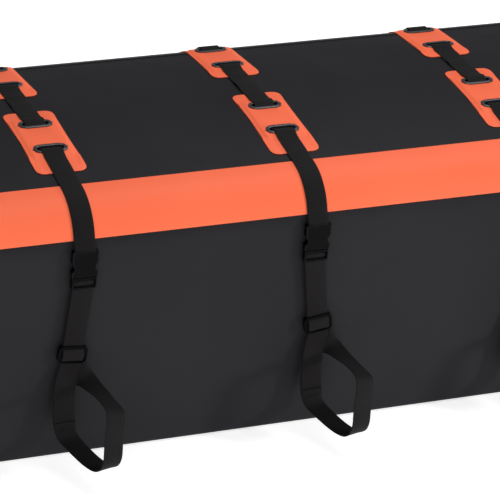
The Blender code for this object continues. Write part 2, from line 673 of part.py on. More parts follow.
def patch_lifts():
    """Distance from a slot's middle, away from its patch's middle, and the webbing's lift there."""
    rim = FLANGE_TOP + WEB_LIFT
    tunnel_end = FLANGE_RADIUS + TUNNEL_MARGIN + TUNNEL_SLOPE
    return ((-SLOT_RADIUS - FLANGE_CROWN, WEB_LIFT), (-SLOT_RADIUS, WEB_LIFT + SLACK), (SLOT_RADIUS, rim),
            (FLANGE_RADIUS - FLANGE_CROWN, rim + SLACK), (FLANGE_RADIUS + FLANGE_EDGE, rim),
            (FLANGE_RADIUS + FLANGE_CROWN, PATCH_TOP + WEB_LIFT + 2 * SLACK),
            (tunnel_end + TUNNEL_MARGIN, GAP + PATCH_THICKNESS + WEB_LIFT + SLACK))


def strap_lifts(side):
    """The webbing's (run, lift) points from the front flap's edge to the back wall."""
    band = GAP + FLAP_THICKNESS + WEB_LIFT + SLACK
    margin = GAP + PATCH_THICKNESS + WEB_LIFT + SLACK
    flap_end = run_at(FLAP_REACH) + WEB_THICKNESS / 2
    points = [(run_at_height(FLAP_LOW + 2 * WEB_THICKNESS), band), (flap_end, band),
              (flap_end + STEP_DOWN, WEB_LIFT)]
    for outer, inner in slot_runs(side):
        away = -1 if outer < inner else 1
        for slot, side, reach in ((outer, away, PATCH_OUTER_MARGIN), (inner, -away, PATCH_INNER_MARGIN)):
            edge = reach + WEB_THICKNESS / 2
            points += [(slot + side * distance, lift) for distance, lift in patch_lifts()]
            points += [(slot + side * edge, margin), (slot + side * (edge + STEP_DOWN), WEB_LIFT)]
    points.append((2 * HALF_RUN - run_at_height(FLAP_LOW), WEB_LIFT))
    return sorted(points)


def lift_at(points, run):
    """The lift at a run, read from the list of points."""
    for (run_a, lift_a), (run_b, lift_b) in zip(points, points[1:]):
        if run_a <= run <= run_b:
            return lift_a + (lift_b - lift_a) * (run - run_a) / (run_b - run_a)
    return points[-1][1]


def buckle_turn(lifted_out):
    """The doubled end round the female half's bar, from its sewn end up to the main length."""
    radius = BAR_RADIUS + GAP + WEB_THICKNESS / 2
    turn = [(WEB_LIFT, BUCKLE_TOP + SEWN_END), (WEB_LIFT + SLACK, BUCKLE_TOP + SEWN_END / 2),
            (BUCKLE_OUT - radius, BAR_Z + BAR_RADIUS)]
    for i in range(ROUND_STEPS + 1):
        angle = pi * i / ROUND_STEPS
        turn.append((BUCKLE_OUT - radius * cos(angle), BAR_Z - radius * sin(angle)))
    turn += [(BUCKLE_OUT + radius, BAR_Z + 2 * BAR_RADIUS),
             (BUCKLE_OUT + radius - 4 * SLACK, BUCKLE_TOP + SLACK),
             (lifted_out + 4 * SLACK, BUCKLE_TOP + SEWN_END)]
    return turn


def over_strap(side, x):
    """The webbing over the bag: sewn round a female half at each end, and through the patches."""
    lifts = strap_lifts(side)
    runs = sorted(set([run for run, _ in lifts]
                      + [run for run in grid_runs() if run > lifts[0][0]]
                      + [2 * HALF_RUN - run for run in grid_runs() if 2 * HALF_RUN - run < lifts[-1][0]]))
    kept = [runs[0]]
    for run in runs[1:]:
        if run - kept[-1] > WEB_THICKNESS / 2:
            kept.append(run)
    front = [(-DEPTH / 2 - out, z) for out, z in buckle_turn(GAP + FLAP_THICKNESS + WEB_LIFT)]
    back = [(DEPTH / 2 + out, z) for out, z in buckle_turn(GAP + 2 * WEB_THICKNESS)]
    middle = [across(run, lift_at(lifts, run)) for run in kept]
    centres = [Vector((x, y, z)) for y, z in front + middle + back[::-1]]
    name = f"webbing_over_{side}"
    return place(name, ribbon(name, centres, [Vector((1, 0, 0))] * len(centres)), "webbing")


def bend_onto_skin(mesh, x, outer, inner):
    """Takes a flat piece (x, run inwards from its outer slot, lift) onto the skin at its place."""
    direction = 1 if inner > outer else -1
    for vertex in mesh.vertices:
        local_x, along, lift = vertex.co
        vertex.co = (x + local_x, *across(outer + direction * along, lift))
    bm = bmesh.new()
    bm.from_mesh(mesh)
    bmesh.ops.triangulate(bm, faces=bm.faces)
    return mesh_of(bm, mesh.name)


def stadium(radius, half_pitch, steps):
    """The outline of a slot, anticlockwise from its lower right."""
    points = []
    for centre, start in ((half_pitch, -pi / 2), (-half_pitch, pi / 2)):
        for i in range(steps + 1):
            angle = start + pi * i / steps
            points.append((centre + radius * cos(angle), radius * sin(angle)))
    return points


def prism(outline, low, high):
    """An upright prism on a flat outline."""
    bm = bmesh.new()
    rings = [[bm.verts.new((x, y, z)) for x, y in outline] for z in (low, high)]
    for i in range(len(outline)):
        j = (i + 1) % len(outline)
        bm.faces.new((rings[0][i], rings[0][j], rings[1][j], rings[1][i]))
    bm.faces.new(rings[0])
    bm.faces.new(rings[1])
    return mesh_of(bm, "prism")


def rounded_outline(half_x, low_y, high_y, radius, steps=3):
    """A rectangle with round corners, anticlockwise."""
    points = []
    middle_x = half_x - radius
    corners = ((middle_x, low_y + radius, -pi / 2), (middle_x, high_y - radius, 0),
               (-middle_x, high_y - radius, pi / 2), (-middle_x, low_y + radius, pi))
    for centre_x, centre_y, start in corners:
        for i in range(steps + 1):
            angle = start + pi / 2 * i / steps
            points.append((centre_x + radius * cos(angle), centre_y + radius * sin(angle)))
    return points


def ramp(value, full, empty):
    """One up to full, zero from empty on, and a straight slope between."""
    return min(1, max(0, (empty - value) / (empty - full)))


def grid_rows(outer, inner, low, high):
    """The grid's runs that cross a patch, as distances from its outer slot."""
    direction = 1 if inner > outer else -1
    runs = grid_runs()
    runs += [2 * HALF_RUN - run for run in runs]
    rows = [direction * (run - outer) for run in runs]
    return [row for row in rows if low + ROW_SPACE < row < high - ROW_SPACE]


def merged_rows(own, grid):
    """Both sets of rows in order, without the own rows that nearly meet one of the grid's."""
    clear = [row for row in own if all(abs(row - other) > ROW_SPACE for other in grid)]
    return sorted(clear + grid)


def flat_patch(outer, inner):
    """The patch before it is bent: a thin sheet, raised over the webbing's tunnel."""
    half = PATCH_WIDTH / 2
    low, high = -PATCH_OUTER_MARGIN, SLOT_PITCH + PATCH_INNER_MARGIN
    tunnel_low = -FLANGE_RADIUS - TUNNEL_MARGIN
    tunnel_high = SLOT_PITCH + FLANGE_RADIUS + TUNNEL_MARGIN
    xs = [-half, -TUNNEL_HALF - TUNNEL_SLOPE, -TUNNEL_HALF, TUNNEL_HALF, TUNNEL_HALF + TUNNEL_SLOPE, half]
    own = [low, tunnel_low - TUNNEL_SLOPE, tunnel_low, tunnel_high, tunnel_high + TUNNEL_SLOPE, high]
    ys = merged_rows(own, grid_rows(outer, inner, low, high))
    bm = bmesh.new()
    sheets = []
    for thickness in (0, 1):
        sheets.append([[bm.verts.new((x, y, thickness)) for x in xs] for y in ys])
    for sheet in sheets:
        for row, following in zip(sheet, sheet[1:]):
            for i in range(len(xs) - 1):
                bm.faces.new((row[i], row[i + 1], following[i + 1], following[i]))
    lower, upper = sheets
    last_x, last_y = len(xs) - 1, len(ys) - 1
    border = ([(0, i) for i in range(last_x)] + [(j, last_x) for j in range(last_y)]
              + [(last_y, i) for i in range(last_x, 0, -1)] + [(j, 0) for j in range(last_y, 0, -1)])
    for (j, i), (n, m) in zip(border, border[1:] + border[:1]):
        bm.faces.new((lower[j][i], lower[n][m], upper[n][m], upper[j][i]))
    sheet = mesh_of(bm, "sheet")
    hole = stadium(SLOT_RADIUS + BARREL_WALL + GAP, SLOT_HALF_PITCH, EYELET_STEPS)
    outline = prism(rounded_outline(half - SLACK, low + SLACK, high - SLACK, PATCH_CORNER), -1, 2)
    near_hole = prism(hole, -1, 2)
    far_hole = prism([(x, y + SLOT_PITCH) for x, y in hole], -1, 2)
    patch = combine(sheet, ("INTERSECT", outline), ("DIFFERENCE", near_hole), ("DIFFERENCE", far_hole))
    for vertex in patch.vertices:
        x, y, z = vertex.co
        along = min(ramp(-y, -tunnel_low, -tunnel_low + TUNNEL_SLOPE),
                    ramp(y, tunnel_high, tunnel_high + TUNNEL_SLOPE))
        raised = TUNNEL * min(along, ramp(abs(x), TUNNEL_HALF, TUNNEL_HALF + TUNNEL_SLOPE))
        vertex.co.z = GAP + raised + PATCH_THICKNESS * z
    return patch


def flat_eyelet(shift):
    """An eyelet before it is bent: a rounded flange on the patch with a barrel through it."""
    profile = ((SLOT_RADIUS, PATCH_LOW), (SLOT_RADIUS + BARREL_WALL, PATCH_LOW),
               (SLOT_RADIUS + BARREL_WALL, FLANGE_LOW), (FLANGE_RADIUS, FLANGE_LOW),
               (FLANGE_RADIUS - FLANGE_EDGE, FLANGE_TOP - FLANGE_EDGE),
               (FLANGE_RADIUS - FLANGE_CROWN, FLANGE_TOP),
               (SLOT_RADIUS + BARREL_WALL, FLANGE_TOP), (SLOT_RADIUS, FLANGE_TOP - FLANGE_EDGE))
    bm = bmesh.new()
    loops = []
    for radius, lift in profile:
        outline = stadium(radius, SLOT_HALF_PITCH, EYELET_STEPS)
        loops.append([bm.verts.new((x, y + shift, lift)) for x, y in outline])
    for near, far in zip(loops, loops[1:] + loops[:1]):
        for i in range(len(near)):
            j = (i + 1) % len(near)
            bm.faces.new((near[i], near[j], far[j], far[i]))
    return mesh_of(bm, "eyelet")


def patches(side, x):
    """The front and back patch of one strap, each with its two eyelets."""
    for where, (outer, inner) in zip(("front", "back"), slot_runs(side)):
        sheet = bend_onto_skin(flat_patch(outer, inner), x, outer, inner)
        place(f"patch_{side}_{where}", sheet, "orange")
        for which, shift in (("outer", 0), ("inner", SLOT_PITCH)):
            ring = bend_onto_skin(flat_eyelet(shift), x, outer, inner)
            place(f"eyelet_{side}_{where}_{which}", ring, "hardware")


def lean_at(lean, z):
    """How far the doubled webbing has moved sideways at a height, on a straight line."""
    start = MALE_LOW
    return lean * min(1, max(0, (start - z) / (start - STRAIGHT_END)))


def lower_webbing(lean):
    """Tail, turn round the male half's bar, doubled length and hanging loop, in the wall's frame."""
    radius = MALE_BAR_RADIUS + GAP + WEB_THICKNESS / 2
    front_out = WEB_OUT + LAYER
    back_out = WEB_OUT - LAYER
    tail = smooth_path([Vector(point) for point in TAIL] + [Vector((0, front_out, STRAIGHT_END))], LOOP_STEPS)
    loop_points = [Vector((0, back_out, MALE_LOW)), Vector((0, back_out, STRAIGHT_END))]
    loop_points += [Vector(point) for point, _ in LOOP]
    loop_widths = [Vector((1, 0, 0))] * 2 + [Vector(width) for _, width in LOOP]
    loop = smooth_path(loop_points, LOOP_STEPS)[LOOP_STEPS:]
    widths = smooth_path(loop_widths, LOOP_STEPS)[LOOP_STEPS:]
    turn = [Vector((0, front_out, MALE_LOW)), Vector((0, front_out, MALE_LOW + CROSSBAR_HEIGHT))]
    for i in range(ROUND_STEPS + 1):
        angle = pi * i / ROUND_STEPS
        turn.append(Vector((0, BUCKLE_OUT + radius * cos(angle), MALE_BAR_Z + radius * sin(angle))))
    turn += [Vector((0, back_out, MALE_LOW + CROSSBAR_HEIGHT)), Vector((0, back_out, MALE_LOW))]
    path = tail + turn + loop
    directions = [Vector((1, 0, 0))] * (len(tail) + len(turn)) + widths
    centres = [Vector((x + lean_at(lean, z), -out, z)) for x, out, z in path]
    return centres, [Vector((x, -out, z)) for x, out, z in directions]


def strap_end(side, where, x, parts):
    """Buckle, tri-glide and lower webbing of one strap end, on the front or back wall."""
    turn = 0 if where == "front" else pi
    facing = 1 if where == "front" else -1
    lean = LEANS[side]
    wall = Matrix.Translation((x, -facing * DEPTH / 2, 0)) @ Matrix.Rotation(turn, 4, "Z")
    buckle_at = wall @ Vector((0, -BUCKLE_OUT, BAR_Z))
    place(f"buckle_female_{side}_{where}", parts["female"].copy(), "hardware", buckle_at, (0, 0, turn))
    place(f"buckle_male_{side}_{where}", parts["male"].copy(), "hardware", buckle_at, (0, 0, turn))
    glide_at = wall @ Vector((lean_at(lean, GLIDE_HEIGHT), -WEB_OUT, GLIDE_HEIGHT))
    slant = -atan2(lean, MALE_LOW - STRAIGHT_END)
    place(f"triglide_{side}_{where}", parts["glide"].copy(), "hardware", glide_at, (0, slant, turn))
    name = f"webbing_lower_{side}_{where}"
    centres, widths = lower_webbing(lean)
    mesh = ribbon(name, centres, widths)
    mesh.transform(Matrix.Translation((0, BUCKLE_OUT, -BAR_Z)))
    place(name, mesh, "webbing", buckle_at, (0, 0, turn))


def build():
    """Clears the scene and makes every piece."""
    for old in list(bpy.data.objects):
        bpy.data.objects.remove(old)
    tub()
    lid_sides()
    lid_top()
    storm_flap()
    zip_chain()
    zip_hardware()
    hinge_strip()
    parts = {"female": female_half(), "male": male_half(), "glide": glide()}
    for side, sign in (("left", -1), ("middle", 0), ("right", 1)):
        x = sign * STRAP_SPACING
        patches(side, x)
        over_strap(side, x)
        for where in ("front", "back"):
            strap_end(side, where, x, parts)


build()
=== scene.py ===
# %% [markdown]
# # Dressing a soft cargo bag
# The bag is a box of coated tarpaulin that stands on a hitch rack. The frame below is the packed
# model: its nodes say where everything is, and this lesson gives each one the shape and finish
# that the eye sees. We keep the bag's box from the start, to compare it with the finished one.

# %% Load the frame
from math import acos, asin, atan2, cos, pi, radians, sin, sqrt, tan

import bmesh
import bpy
from mathutils import Matrix, Vector, noise


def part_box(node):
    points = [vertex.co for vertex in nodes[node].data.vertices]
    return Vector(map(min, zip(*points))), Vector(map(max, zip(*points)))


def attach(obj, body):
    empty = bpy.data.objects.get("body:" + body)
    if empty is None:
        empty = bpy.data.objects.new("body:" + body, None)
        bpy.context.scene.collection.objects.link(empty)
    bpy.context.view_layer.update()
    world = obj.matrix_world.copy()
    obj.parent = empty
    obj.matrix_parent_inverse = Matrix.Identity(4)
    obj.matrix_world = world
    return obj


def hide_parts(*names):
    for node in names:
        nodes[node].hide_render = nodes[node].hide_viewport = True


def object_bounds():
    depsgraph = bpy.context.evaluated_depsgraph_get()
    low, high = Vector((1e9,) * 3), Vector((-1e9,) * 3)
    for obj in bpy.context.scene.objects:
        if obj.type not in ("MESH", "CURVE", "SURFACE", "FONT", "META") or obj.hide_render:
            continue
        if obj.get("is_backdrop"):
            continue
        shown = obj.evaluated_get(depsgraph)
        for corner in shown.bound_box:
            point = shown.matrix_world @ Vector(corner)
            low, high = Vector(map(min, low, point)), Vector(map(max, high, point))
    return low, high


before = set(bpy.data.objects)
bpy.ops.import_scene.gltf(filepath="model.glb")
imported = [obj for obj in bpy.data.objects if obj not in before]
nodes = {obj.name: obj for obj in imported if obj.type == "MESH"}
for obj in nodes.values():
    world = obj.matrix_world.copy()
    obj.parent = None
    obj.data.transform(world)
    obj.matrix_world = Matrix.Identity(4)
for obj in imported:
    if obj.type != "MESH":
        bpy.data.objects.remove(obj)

cad_box = [list(corner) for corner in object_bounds()]

# %% [markdown]
# ## The camera
# The photograph looks down on the front and the lid from a little to the left, through a long
# lens. The lens and place below came from lining up the bag's long edges and straps with it.
# The horizon leans by five degrees, so the camera is rolled as well.

# %% Camera
CAMERA_TARGET = Vector((-0.1186, -0.3000, 0.3651))
CAMERA_DISTANCE = 5.4038
LENS = 225.64
azimuth, elevation, roll = radians(-23.79), radians(28.66), radians(5.21)
back = Vector((sin(azimuth) * cos(elevation), -cos(azimuth) * cos(elevation), sin(elevation)))
right = Vector((cos(azimuth), sin(azimuth), 0))
up = back.cross(right)
rolled_right = right * cos(roll) + up * sin(roll)
rolled_up = up * cos(roll) - right * sin(roll)
camera = bpy.data.objects.new("camera", bpy.data.cameras.new("camera"))
bpy.context.scene.collection.objects.link(camera)
camera.matrix_world = Matrix.Translation(CAMERA_TARGET + back * CAMERA_DISTANCE) @ Matrix(
    (rolled_right, rolled_up, back)).transposed().to_4x4()
camera.data.lens = LENS
camera.data.sensor_width = 36
camera.data.clip_end = 50
bpy.context.scene.camera = camera
print("camera at", [round(c, 3) for c in camera.location])

# %% [markdown]
# ## Writing shader maths as Python
# A material is a sheet of nodes. Wiring it one link at a time hides the idea, so `Num` wraps a
# number that varies over the surface and lets Python's own operators add the Math nodes.

# %% Num
class Num:
    """A number that varies over a surface: operators on it add Math nodes to its sheet."""

    def __init__(self, sheet, socket):
        self.sheet, self.socket = sheet, socket

    def __add__(self, other):
        return self.sheet.math("ADD", self, other)

    def __sub__(self, other):
        return self.sheet.math("SUBTRACT", self, other)

    def __rsub__(self, other):
        return self.sheet.math("SUBTRACT", other, self)

    def __mul__(self, other):
        return self.sheet.math("MULTIPLY", self, other)

    def __truediv__(self, other):
        return self.sheet.math("DIVIDE", self, other)

    def __abs__(self):
        return self.sheet.math("ABSOLUTE", self)

    __radd__, __rmul__ = __add__, __mul__

    def sine(self):
        return self.sheet.math("SINE", self)

    def above(self, low, high):
        """Zero below low, one over high, smooth between."""
        step = self.sheet.add("ShaderNodeMapRange", {"interpolation_type": "SMOOTHSTEP"},
                              {"Value": self, "From Min": low, "From Max": high})
        return Num(self.sheet, step.outputs["Result"])


print("Num ready")

# %% [markdown]
# ## A sheet for each material
# `Sheet` holds one material's nodes. Every node that isn't plain maths comes from its `add`.

# %% Sheet
class Sheet:
    """A material's node sheet, with its Principled shader."""

    def __init__(self, name, colour, roughness, **fixed):
        self.material = bpy.data.materials.new(name)
        self.material.use_nodes = True
        self.tree = self.material.node_tree
        self.shader = self.tree.nodes["Principled BSDF"]
        self.put("Base Color", (*colour, 1))
        self.put("Roughness", roughness)
        for key, value in fixed.items():
            self.put(key.replace("_", " "), value)

    def put(self, socket, value):
        """Sets or links one of the shader's own sockets."""
        self.plug(self.shader.inputs[socket], value)

    def plug(self, socket, value):
        """Sets or links any socket."""
        if isinstance(value, Num):
            self.tree.links.new(value.socket, socket)
        elif isinstance(value, bpy.types.NodeSocket):
            self.tree.links.new(value, socket)
        else:
            socket.default_value = value

    def add(self, kind, settings=None, inputs=None):
        """A node of any type: its settings first, then the values or links of its sockets."""
        node = self.tree.nodes.new(kind)
        for key, value in (settings or {}).items():
            setattr(node, key, value)
        for key, value in (inputs or {}).items():
            self.plug(node.inputs[key], value)
        return node

    def math(self, operation, *values):
        node = self.add("ShaderNodeMath", {"operation": operation})
        for socket, value in zip(node.inputs, values):
            self.plug(socket, value)
        return Num(self, node.outputs[0])

    def place(self, kind="Object"):
        """The coordinates as a vector socket: Object for places in metres, UV along a strap."""
        return self.add("ShaderNodeTexCoord").outputs[kind]

    def axes(self, vector):
        """The three numbers of a vector."""
        split = self.add("ShaderNodeSeparateXYZ", None, {"Vector": vector})
        return [Num(self, split.outputs[i]) for i in range(3)]

    def mottle(self, vector, scale, detail=2.0, rough=0.5):
        """Cloudy noise from 0 to 1."""
        inputs = {"Vector": vector, "Scale": scale, "Detail": detail, "Roughness": rough}
        return Num(self, self.add("ShaderNodeTexNoise", None, inputs).outputs["Fac"])

    def tint(self, fraction, low, high):
        """Mixes the base colour between two, by a fraction."""
        mix = self.add("ShaderNodeMix", {"data_type": "RGBA"}, {"Factor": fraction})
        self.plug(mix.inputs[6], (*low, 1))
        self.plug(mix.inputs[7], (*high, 1))
        self.put("Base Color", mix.outputs[2])

    def relief(self, *layers):
        """Bump nodes in a chain: each layer is a height from 0 to 1 and its depth in metres."""
        normal = None
        for height, depth in layers:
            inputs = {"Height": height, "Strength": 1.0, "Distance": depth}
            if normal is not None:
                inputs["Normal"] = normal
            normal = self.add("ShaderNodeBump", None, inputs).outputs["Normal"]
        self.put("Normal", normal)


print("Sheet ready")

# %% [markdown]
# ## Coated tarpaulin
# The cloth is a polyester scrim dipped in soft vinyl. Close by, the threads show through the
# coating as a fine grid. From a step back the eye sees broad, faint waves and a soft sheen. So
# the material has a grid of sines two millimetres apart, fine grain and slow noise.

# %% Tarpaulin material
SCRIM_PITCH = 0.0021
SCRIM_DEPTH, GRAIN_DEPTH = 0.00005, 0.00004


def tarpaulin(name, dark, light, roughness, wave=0.0012):
    """Vinyl-coated cloth: thread grid, grain and slow waves."""
    sheet = Sheet(name, dark, roughness, Specular_IOR_Level=0.12)
    at = sheet.place()
    x, y, z = [(axis * (2 * pi / SCRIM_PITCH)).sine() for axis in sheet.axes(at)]
    threads = (x + y + z) / 6 + 0.5
    grain = sheet.mottle(at, scale=900)
    cloud = sheet.mottle(at, scale=3.2, detail=3, rough=0.45)
    crumple = sheet.mottle(at, scale=14, rough=0.4)
    sheet.tint(cloud.above(0.25, 0.75), dark, light)
    sheet.put("Roughness", roughness - 0.05 + cloud * 0.07 + grain * 0.04)
    sheet.relief((cloud, wave * 8), (crumple, wave * 0.5), (threads, SCRIM_DEPTH), (grain, GRAIN_DEPTH))
    return sheet.material


charcoal = tarpaulin("charcoal_tarpaulin", (0.0120, 0.0110, 0.0132), (0.0158, 0.0146, 0.0174), 0.48)
black = tarpaulin("black_tarpaulin", (0.0080, 0.0078, 0.0105), (0.0115, 0.0110, 0.0145), 0.48)
orange = tarpaulin("orange_tarpaulin", (0.96, 0.160, 0.070), (0.99, 0.175, 0.078), 0.50, 0.0006)
print("tarpaulin in", [m.name for m in (charcoal, black, orange)])

# %% [markdown]
# ## Webbing
# Webbing is woven across its length in ribs, so its pattern follows the strap: it reads the
# strap's own UV map, which holds metres along and across. Its colour is lighter on the crests of
# the ribs and yarns and darker in the grooves, which is painted shade, under a random mottle.
# Where a strap is sewn to itself, a box of dashed thread runs round the sewn stretch.

# %% Webbing material
RIB, YARN, ZIGZAG = 0.0023, 0.0016, 0.0042
HALF_WEB = 0.019
SELVEDGE_FROM, SELVEDGE_TO = HALF_WEB - 0.0035, HALF_WEB - 0.0015
STITCH = 0.0045
STITCH_LINE = HALF_WEB - 0.004
THREAD_HALF, THREAD_EDGE = 0.0004, 0.0009


def stitches(off_line, along_line):
    """Dashes of thread, from the distance off their line and the distance along it."""
    line = 1 - abs(off_line).above(THREAD_HALF, THREAD_EDGE)
    return line * (along_line * (2 * pi / STITCH)).sine().above(-0.6, -0.2)


def webbing_cloth(name, sewn=()):
    """Black webbing with ribs, their grooves darkened as painted shade; each sewn stretch is a (start,
    end) in metres along the strap.
    """
    sheet = Sheet(name, (0.012, 0.011, 0.012), 0.62, Sheen_Weight=0.02, Sheen_Roughness=0.45,
                  Specular_IOR_Level=0.09)
    along, sideways, _ = sheet.axes(sheet.place("UV"))
    zigzag = (sideways * (2 * pi / ZIGZAG)).sine()
    rib = abs((along * (pi / RIB) + zigzag).sine())
    yarn = abs((sideways * (pi / YARN)).sine())
    from_middle = abs(sideways)
    edge = from_middle.above(SELVEDGE_FROM, SELVEDGE_TO)
    fuzz = sheet.mottle(sheet.place(), scale=260, detail=3)
    # Painted shade: darker in the grooves between ribs and yarns, lighter on their crests; the fuzz
    # mottle is random tone
    groove_shade_and_mottle = rib * 0.35 + yarn * 0.15 + fuzz * 0.5
    thread = None
    for start, end in sewn:
        within = 1 - from_middle.above(STITCH_LINE, SELVEDGE_FROM)
        rows = [stitches(along - row, sideways) * within for row in (start, end)]
        inside = (along - start).above(0, THREAD_HALF) * (end - along).above(0, THREAD_HALF)
        rows.append(stitches(from_middle - STITCH_LINE, along) * inside)
        for row in rows:
            thread = row if thread is None else sheet.math("MAXIMUM", thread, row)
    layers = [(rib * (1 - edge * 0.6), 0.00022), (yarn, 0.00006), (fuzz, 0.00015)]
    if thread is not None:
        groove_shade_and_mottle = sheet.math("MAXIMUM", groove_shade_and_mottle * 0.75, thread)
        layers.append((thread, 0.0005))
    # The base colour carries the painted groove shade and the mottle, with the stitching thread lighter
    # over them
    sheet.tint(groove_shade_and_mottle, (0.0030, 0.0026, 0.0029), (0.0135, 0.0115, 0.0125))
    sheet.relief(*layers)
    return sheet.material


print("webbing ribs every", RIB * 1000, "mm")

# %% [markdown]
# ## Moulded plastic and zip tape
# Moulded plastic has a fine spark-eroded grain, and handling polishes its rounded edges: the
# mesh carries that as an attribute, which the shader's coat reads. Zip tape is a fine twill.

# %% Plastic, metal and tape
POLISH = "polished_edge"
TWILL = 0.0014


def moulded(name, colour, roughness, shine, polish=1.0):
    """Black acetal or nylon: fine grain on the flats, a clear polish on the rounded edges."""
    sheet = Sheet(name, colour, roughness, Specular_IOR_Level=shine, Coat_Roughness=0.14)
    edge = sheet.add("ShaderNodeAttribute", {"attribute_name": POLISH})
    sheet.put("Coat Weight", Num(sheet, edge.outputs["Fac"]) * polish)
    at = sheet.place()
    grain = sheet.mottle(at, scale=1600)
    rubbed = sheet.mottle(at, scale=70, detail=3)
    sheet.put("Roughness", roughness + grain * 0.08 - rubbed.above(0.45, 0.75) * 0.08)
    sheet.tint(rubbed, [c * 0.85 for c in colour], [c * 1.25 for c in colour])
    sheet.relief((grain, 0.00006))
    return sheet.material


def zip_tape(name):
    """Woven tape: a fine twill that runs at 45 degrees."""
    sheet = Sheet(name, (0.016, 0.016, 0.017), 0.7, Specular_IOR_Level=0.3)
    x, y, z = sheet.axes(sheet.place())
    twill = ((y + z + x) * (2 * pi / TWILL)).sine() * 0.5 + 0.5
    sheet.tint(twill, (0.010, 0.010, 0.011), (0.022, 0.022, 0.024))
    sheet.relief((twill, 0.0001))
    return sheet.material


plastic = moulded("black_plastic", (0.0016, 0.0013, 0.0016), 0.24, 0.05)
eyelet_plastic = moulded("eyelet_plastic", (0.020, 0.018, 0.023), 0.28, 0.36, 0.35)
coated_metal = moulded("coated_metal", (0.02, 0.02, 0.021), 0.34, 0.35)
tape = zip_tape("zip_tape")
print("materials:", len(bpy.data.materials))

# %% [markdown]
# ## The bag's form as numbers
# Several pieces lie on the bag's skin: the flap, the patches and the straps. They all need to
# know where the skin is. A point on it is named by its *run*, the distance from the floor up the
# wall, over the rounded edge and across the lid. `skin` turns a run into an inset and a height.

# %% Sizes and skin
low_corner, high_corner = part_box("tub")
LENGTH = high_corner.x - low_corner.x
DEPTH = high_corner.y - low_corner.y
RIM = high_corner.z
HEIGHT = round(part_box("lid_top")[1].z, 4)
MOUTH = 0.008  # from the tub's rim to the lid's edge
WALL = 0.003  # tarpaulin on a thin foam stiffener
CORNER = 0.110  # radius of the upright corners
SHOULDER = 0.082  # radius of the rounded top edge
CROWN_ANGLE = radians(9)  # slope of the lid where the rounded edge meets it
FOOT = 0.007  # radius round the floor
GAP = 0.0003  # between pieces that touch
CROWN_START = SHOULDER * (1 - sin(CROWN_ANGLE))
CROWN_WIDTH = DEPTH / 2 - CROWN_START
CROWN_RISE = tan(CROWN_ANGLE) / 2 * CROWN_WIDTH
SHOULDER_CENTRE = HEIGHT - CROWN_RISE - SHOULDER * cos(CROWN_ANGLE)
SHOULDER_ARC = SHOULDER * (pi / 2 - CROWN_ANGLE)
HALF_RUN = SHOULDER_CENTRE + SHOULDER_ARC + CROWN_WIDTH


def skin(run, lift=0.0):
    """Inset and height of a point on the skin, lifted off it."""
    if run <= SHOULDER_CENTRE:
        return -lift, run
    angle = (run - SHOULDER_CENTRE) / SHOULDER
    if run <= SHOULDER_CENTRE + SHOULDER_ARC:
        radius = SHOULDER + lift
        return SHOULDER - radius * cos(angle), SHOULDER_CENTRE + radius * sin(angle)
    left = 1 - (run - SHOULDER_CENTRE - SHOULDER_ARC) / CROWN_WIDTH
    slope = atan2(2 * CROWN_RISE * left, CROWN_WIDTH)
    inset = DEPTH / 2 - left * CROWN_WIDTH
    return inset - lift * sin(slope), HEIGHT - CROWN_RISE * left * left + lift * cos(slope)


def run_at(inset):
    """The run at which the skin has come in by this much."""
    if inset >= CROWN_START:
        return SHOULDER_CENTRE + SHOULDER_ARC + inset - CROWN_START
    return SHOULDER_CENTRE + SHOULDER * acos(1 - inset / SHOULDER)


def run_at_height(height):
    """The run at which the rounded edge has reached a height."""
    return SHOULDER_CENTRE + SHOULDER * asin((height - SHOULDER_CENTRE) / SHOULDER)


def across(run, lift):
    """Y and height of a point for a run that goes from the front to the back."""
    if run <= HALF_RUN:
        inset, height = skin(run, lift)
        return -DEPTH / 2 + inset, height
    inset, height = skin(2 * HALF_RUN - run, lift)
    return DEPTH / 2 - inset, height


print("bag", round(LENGTH, 3), "x", round(DEPTH, 3), "x", HEIGHT, "m, rim at", round(RIM, 4))

# %% [markdown]
# ## Contours of the lid
# Seen from above, the lid's contours are rounded rectangles whose corners tighten towards the
# middle. To find the contour that a place lies on, we halve the search again and again.

# %% Contours
CROWN_CORNER = 0.2  # least corner radius, per metre of depth left
HALVINGS = 26


def inset_at(x, y):
    """How far in from the outline a place on the lid is."""
    near, far = 0.0, DEPTH / 2
    for _ in range(HALVINGS):
        inset = (near + far) / 2
        radius = max(CORNER - inset, CROWN_CORNER * (DEPTH / 2 - inset))
        dx = abs(x) - (LENGTH / 2 - inset - radius)
        dy = abs(y) - (DEPTH / 2 - inset - radius)
        outside = sqrt(max(dx, 0) ** 2 + max(dy, 0) ** 2) + min(max(dx, dy), 0) - radius
        if outside > 0:
            far = inset
        else:
            near = inset
    return near


print("the lid's middle lies", round(inset_at(0, 0), 3), "m in")

# %% [markdown]
# ## Working by hand, in code
# The operators act on what is selected, just as in the window. Here `only` makes one object
# active, `pick` selects parts of its mesh by a rule, and `cut` slices it along a plane.

# %% Hand tools
HAIR = 0.0001  # places closer than this count as one


def only(piece):
    """Leaves everything but this piece deselected, and makes it active."""
    bpy.ops.object.select_all(action="DESELECT")
    piece.hide_set(False)
    piece.select_set(True)
    bpy.context.view_layer.objects.active = piece


def edit_on(piece):
    only(piece)
    bpy.ops.object.mode_set(mode="EDIT")


def edit_off():
    bpy.ops.object.mode_set(mode="OBJECT")


def pick_all():
    bpy.ops.mesh.select_all(action="SELECT")


def pick(kind, rule):
    """In edit mode, selects the vertices, edges or faces that pass the rule."""
    bpy.ops.mesh.select_mode(type=kind)
    bpy.ops.mesh.select_all(action="DESELECT")
    data = bpy.context.object.data
    mesh = bmesh.from_edit_mesh(data)
    for item in {"VERT": mesh.verts, "EDGE": mesh.edges, "FACE": mesh.faces}[kind]:
        if rule(item):
            item.select_set(True)
    bmesh.update_edit_mesh(data)


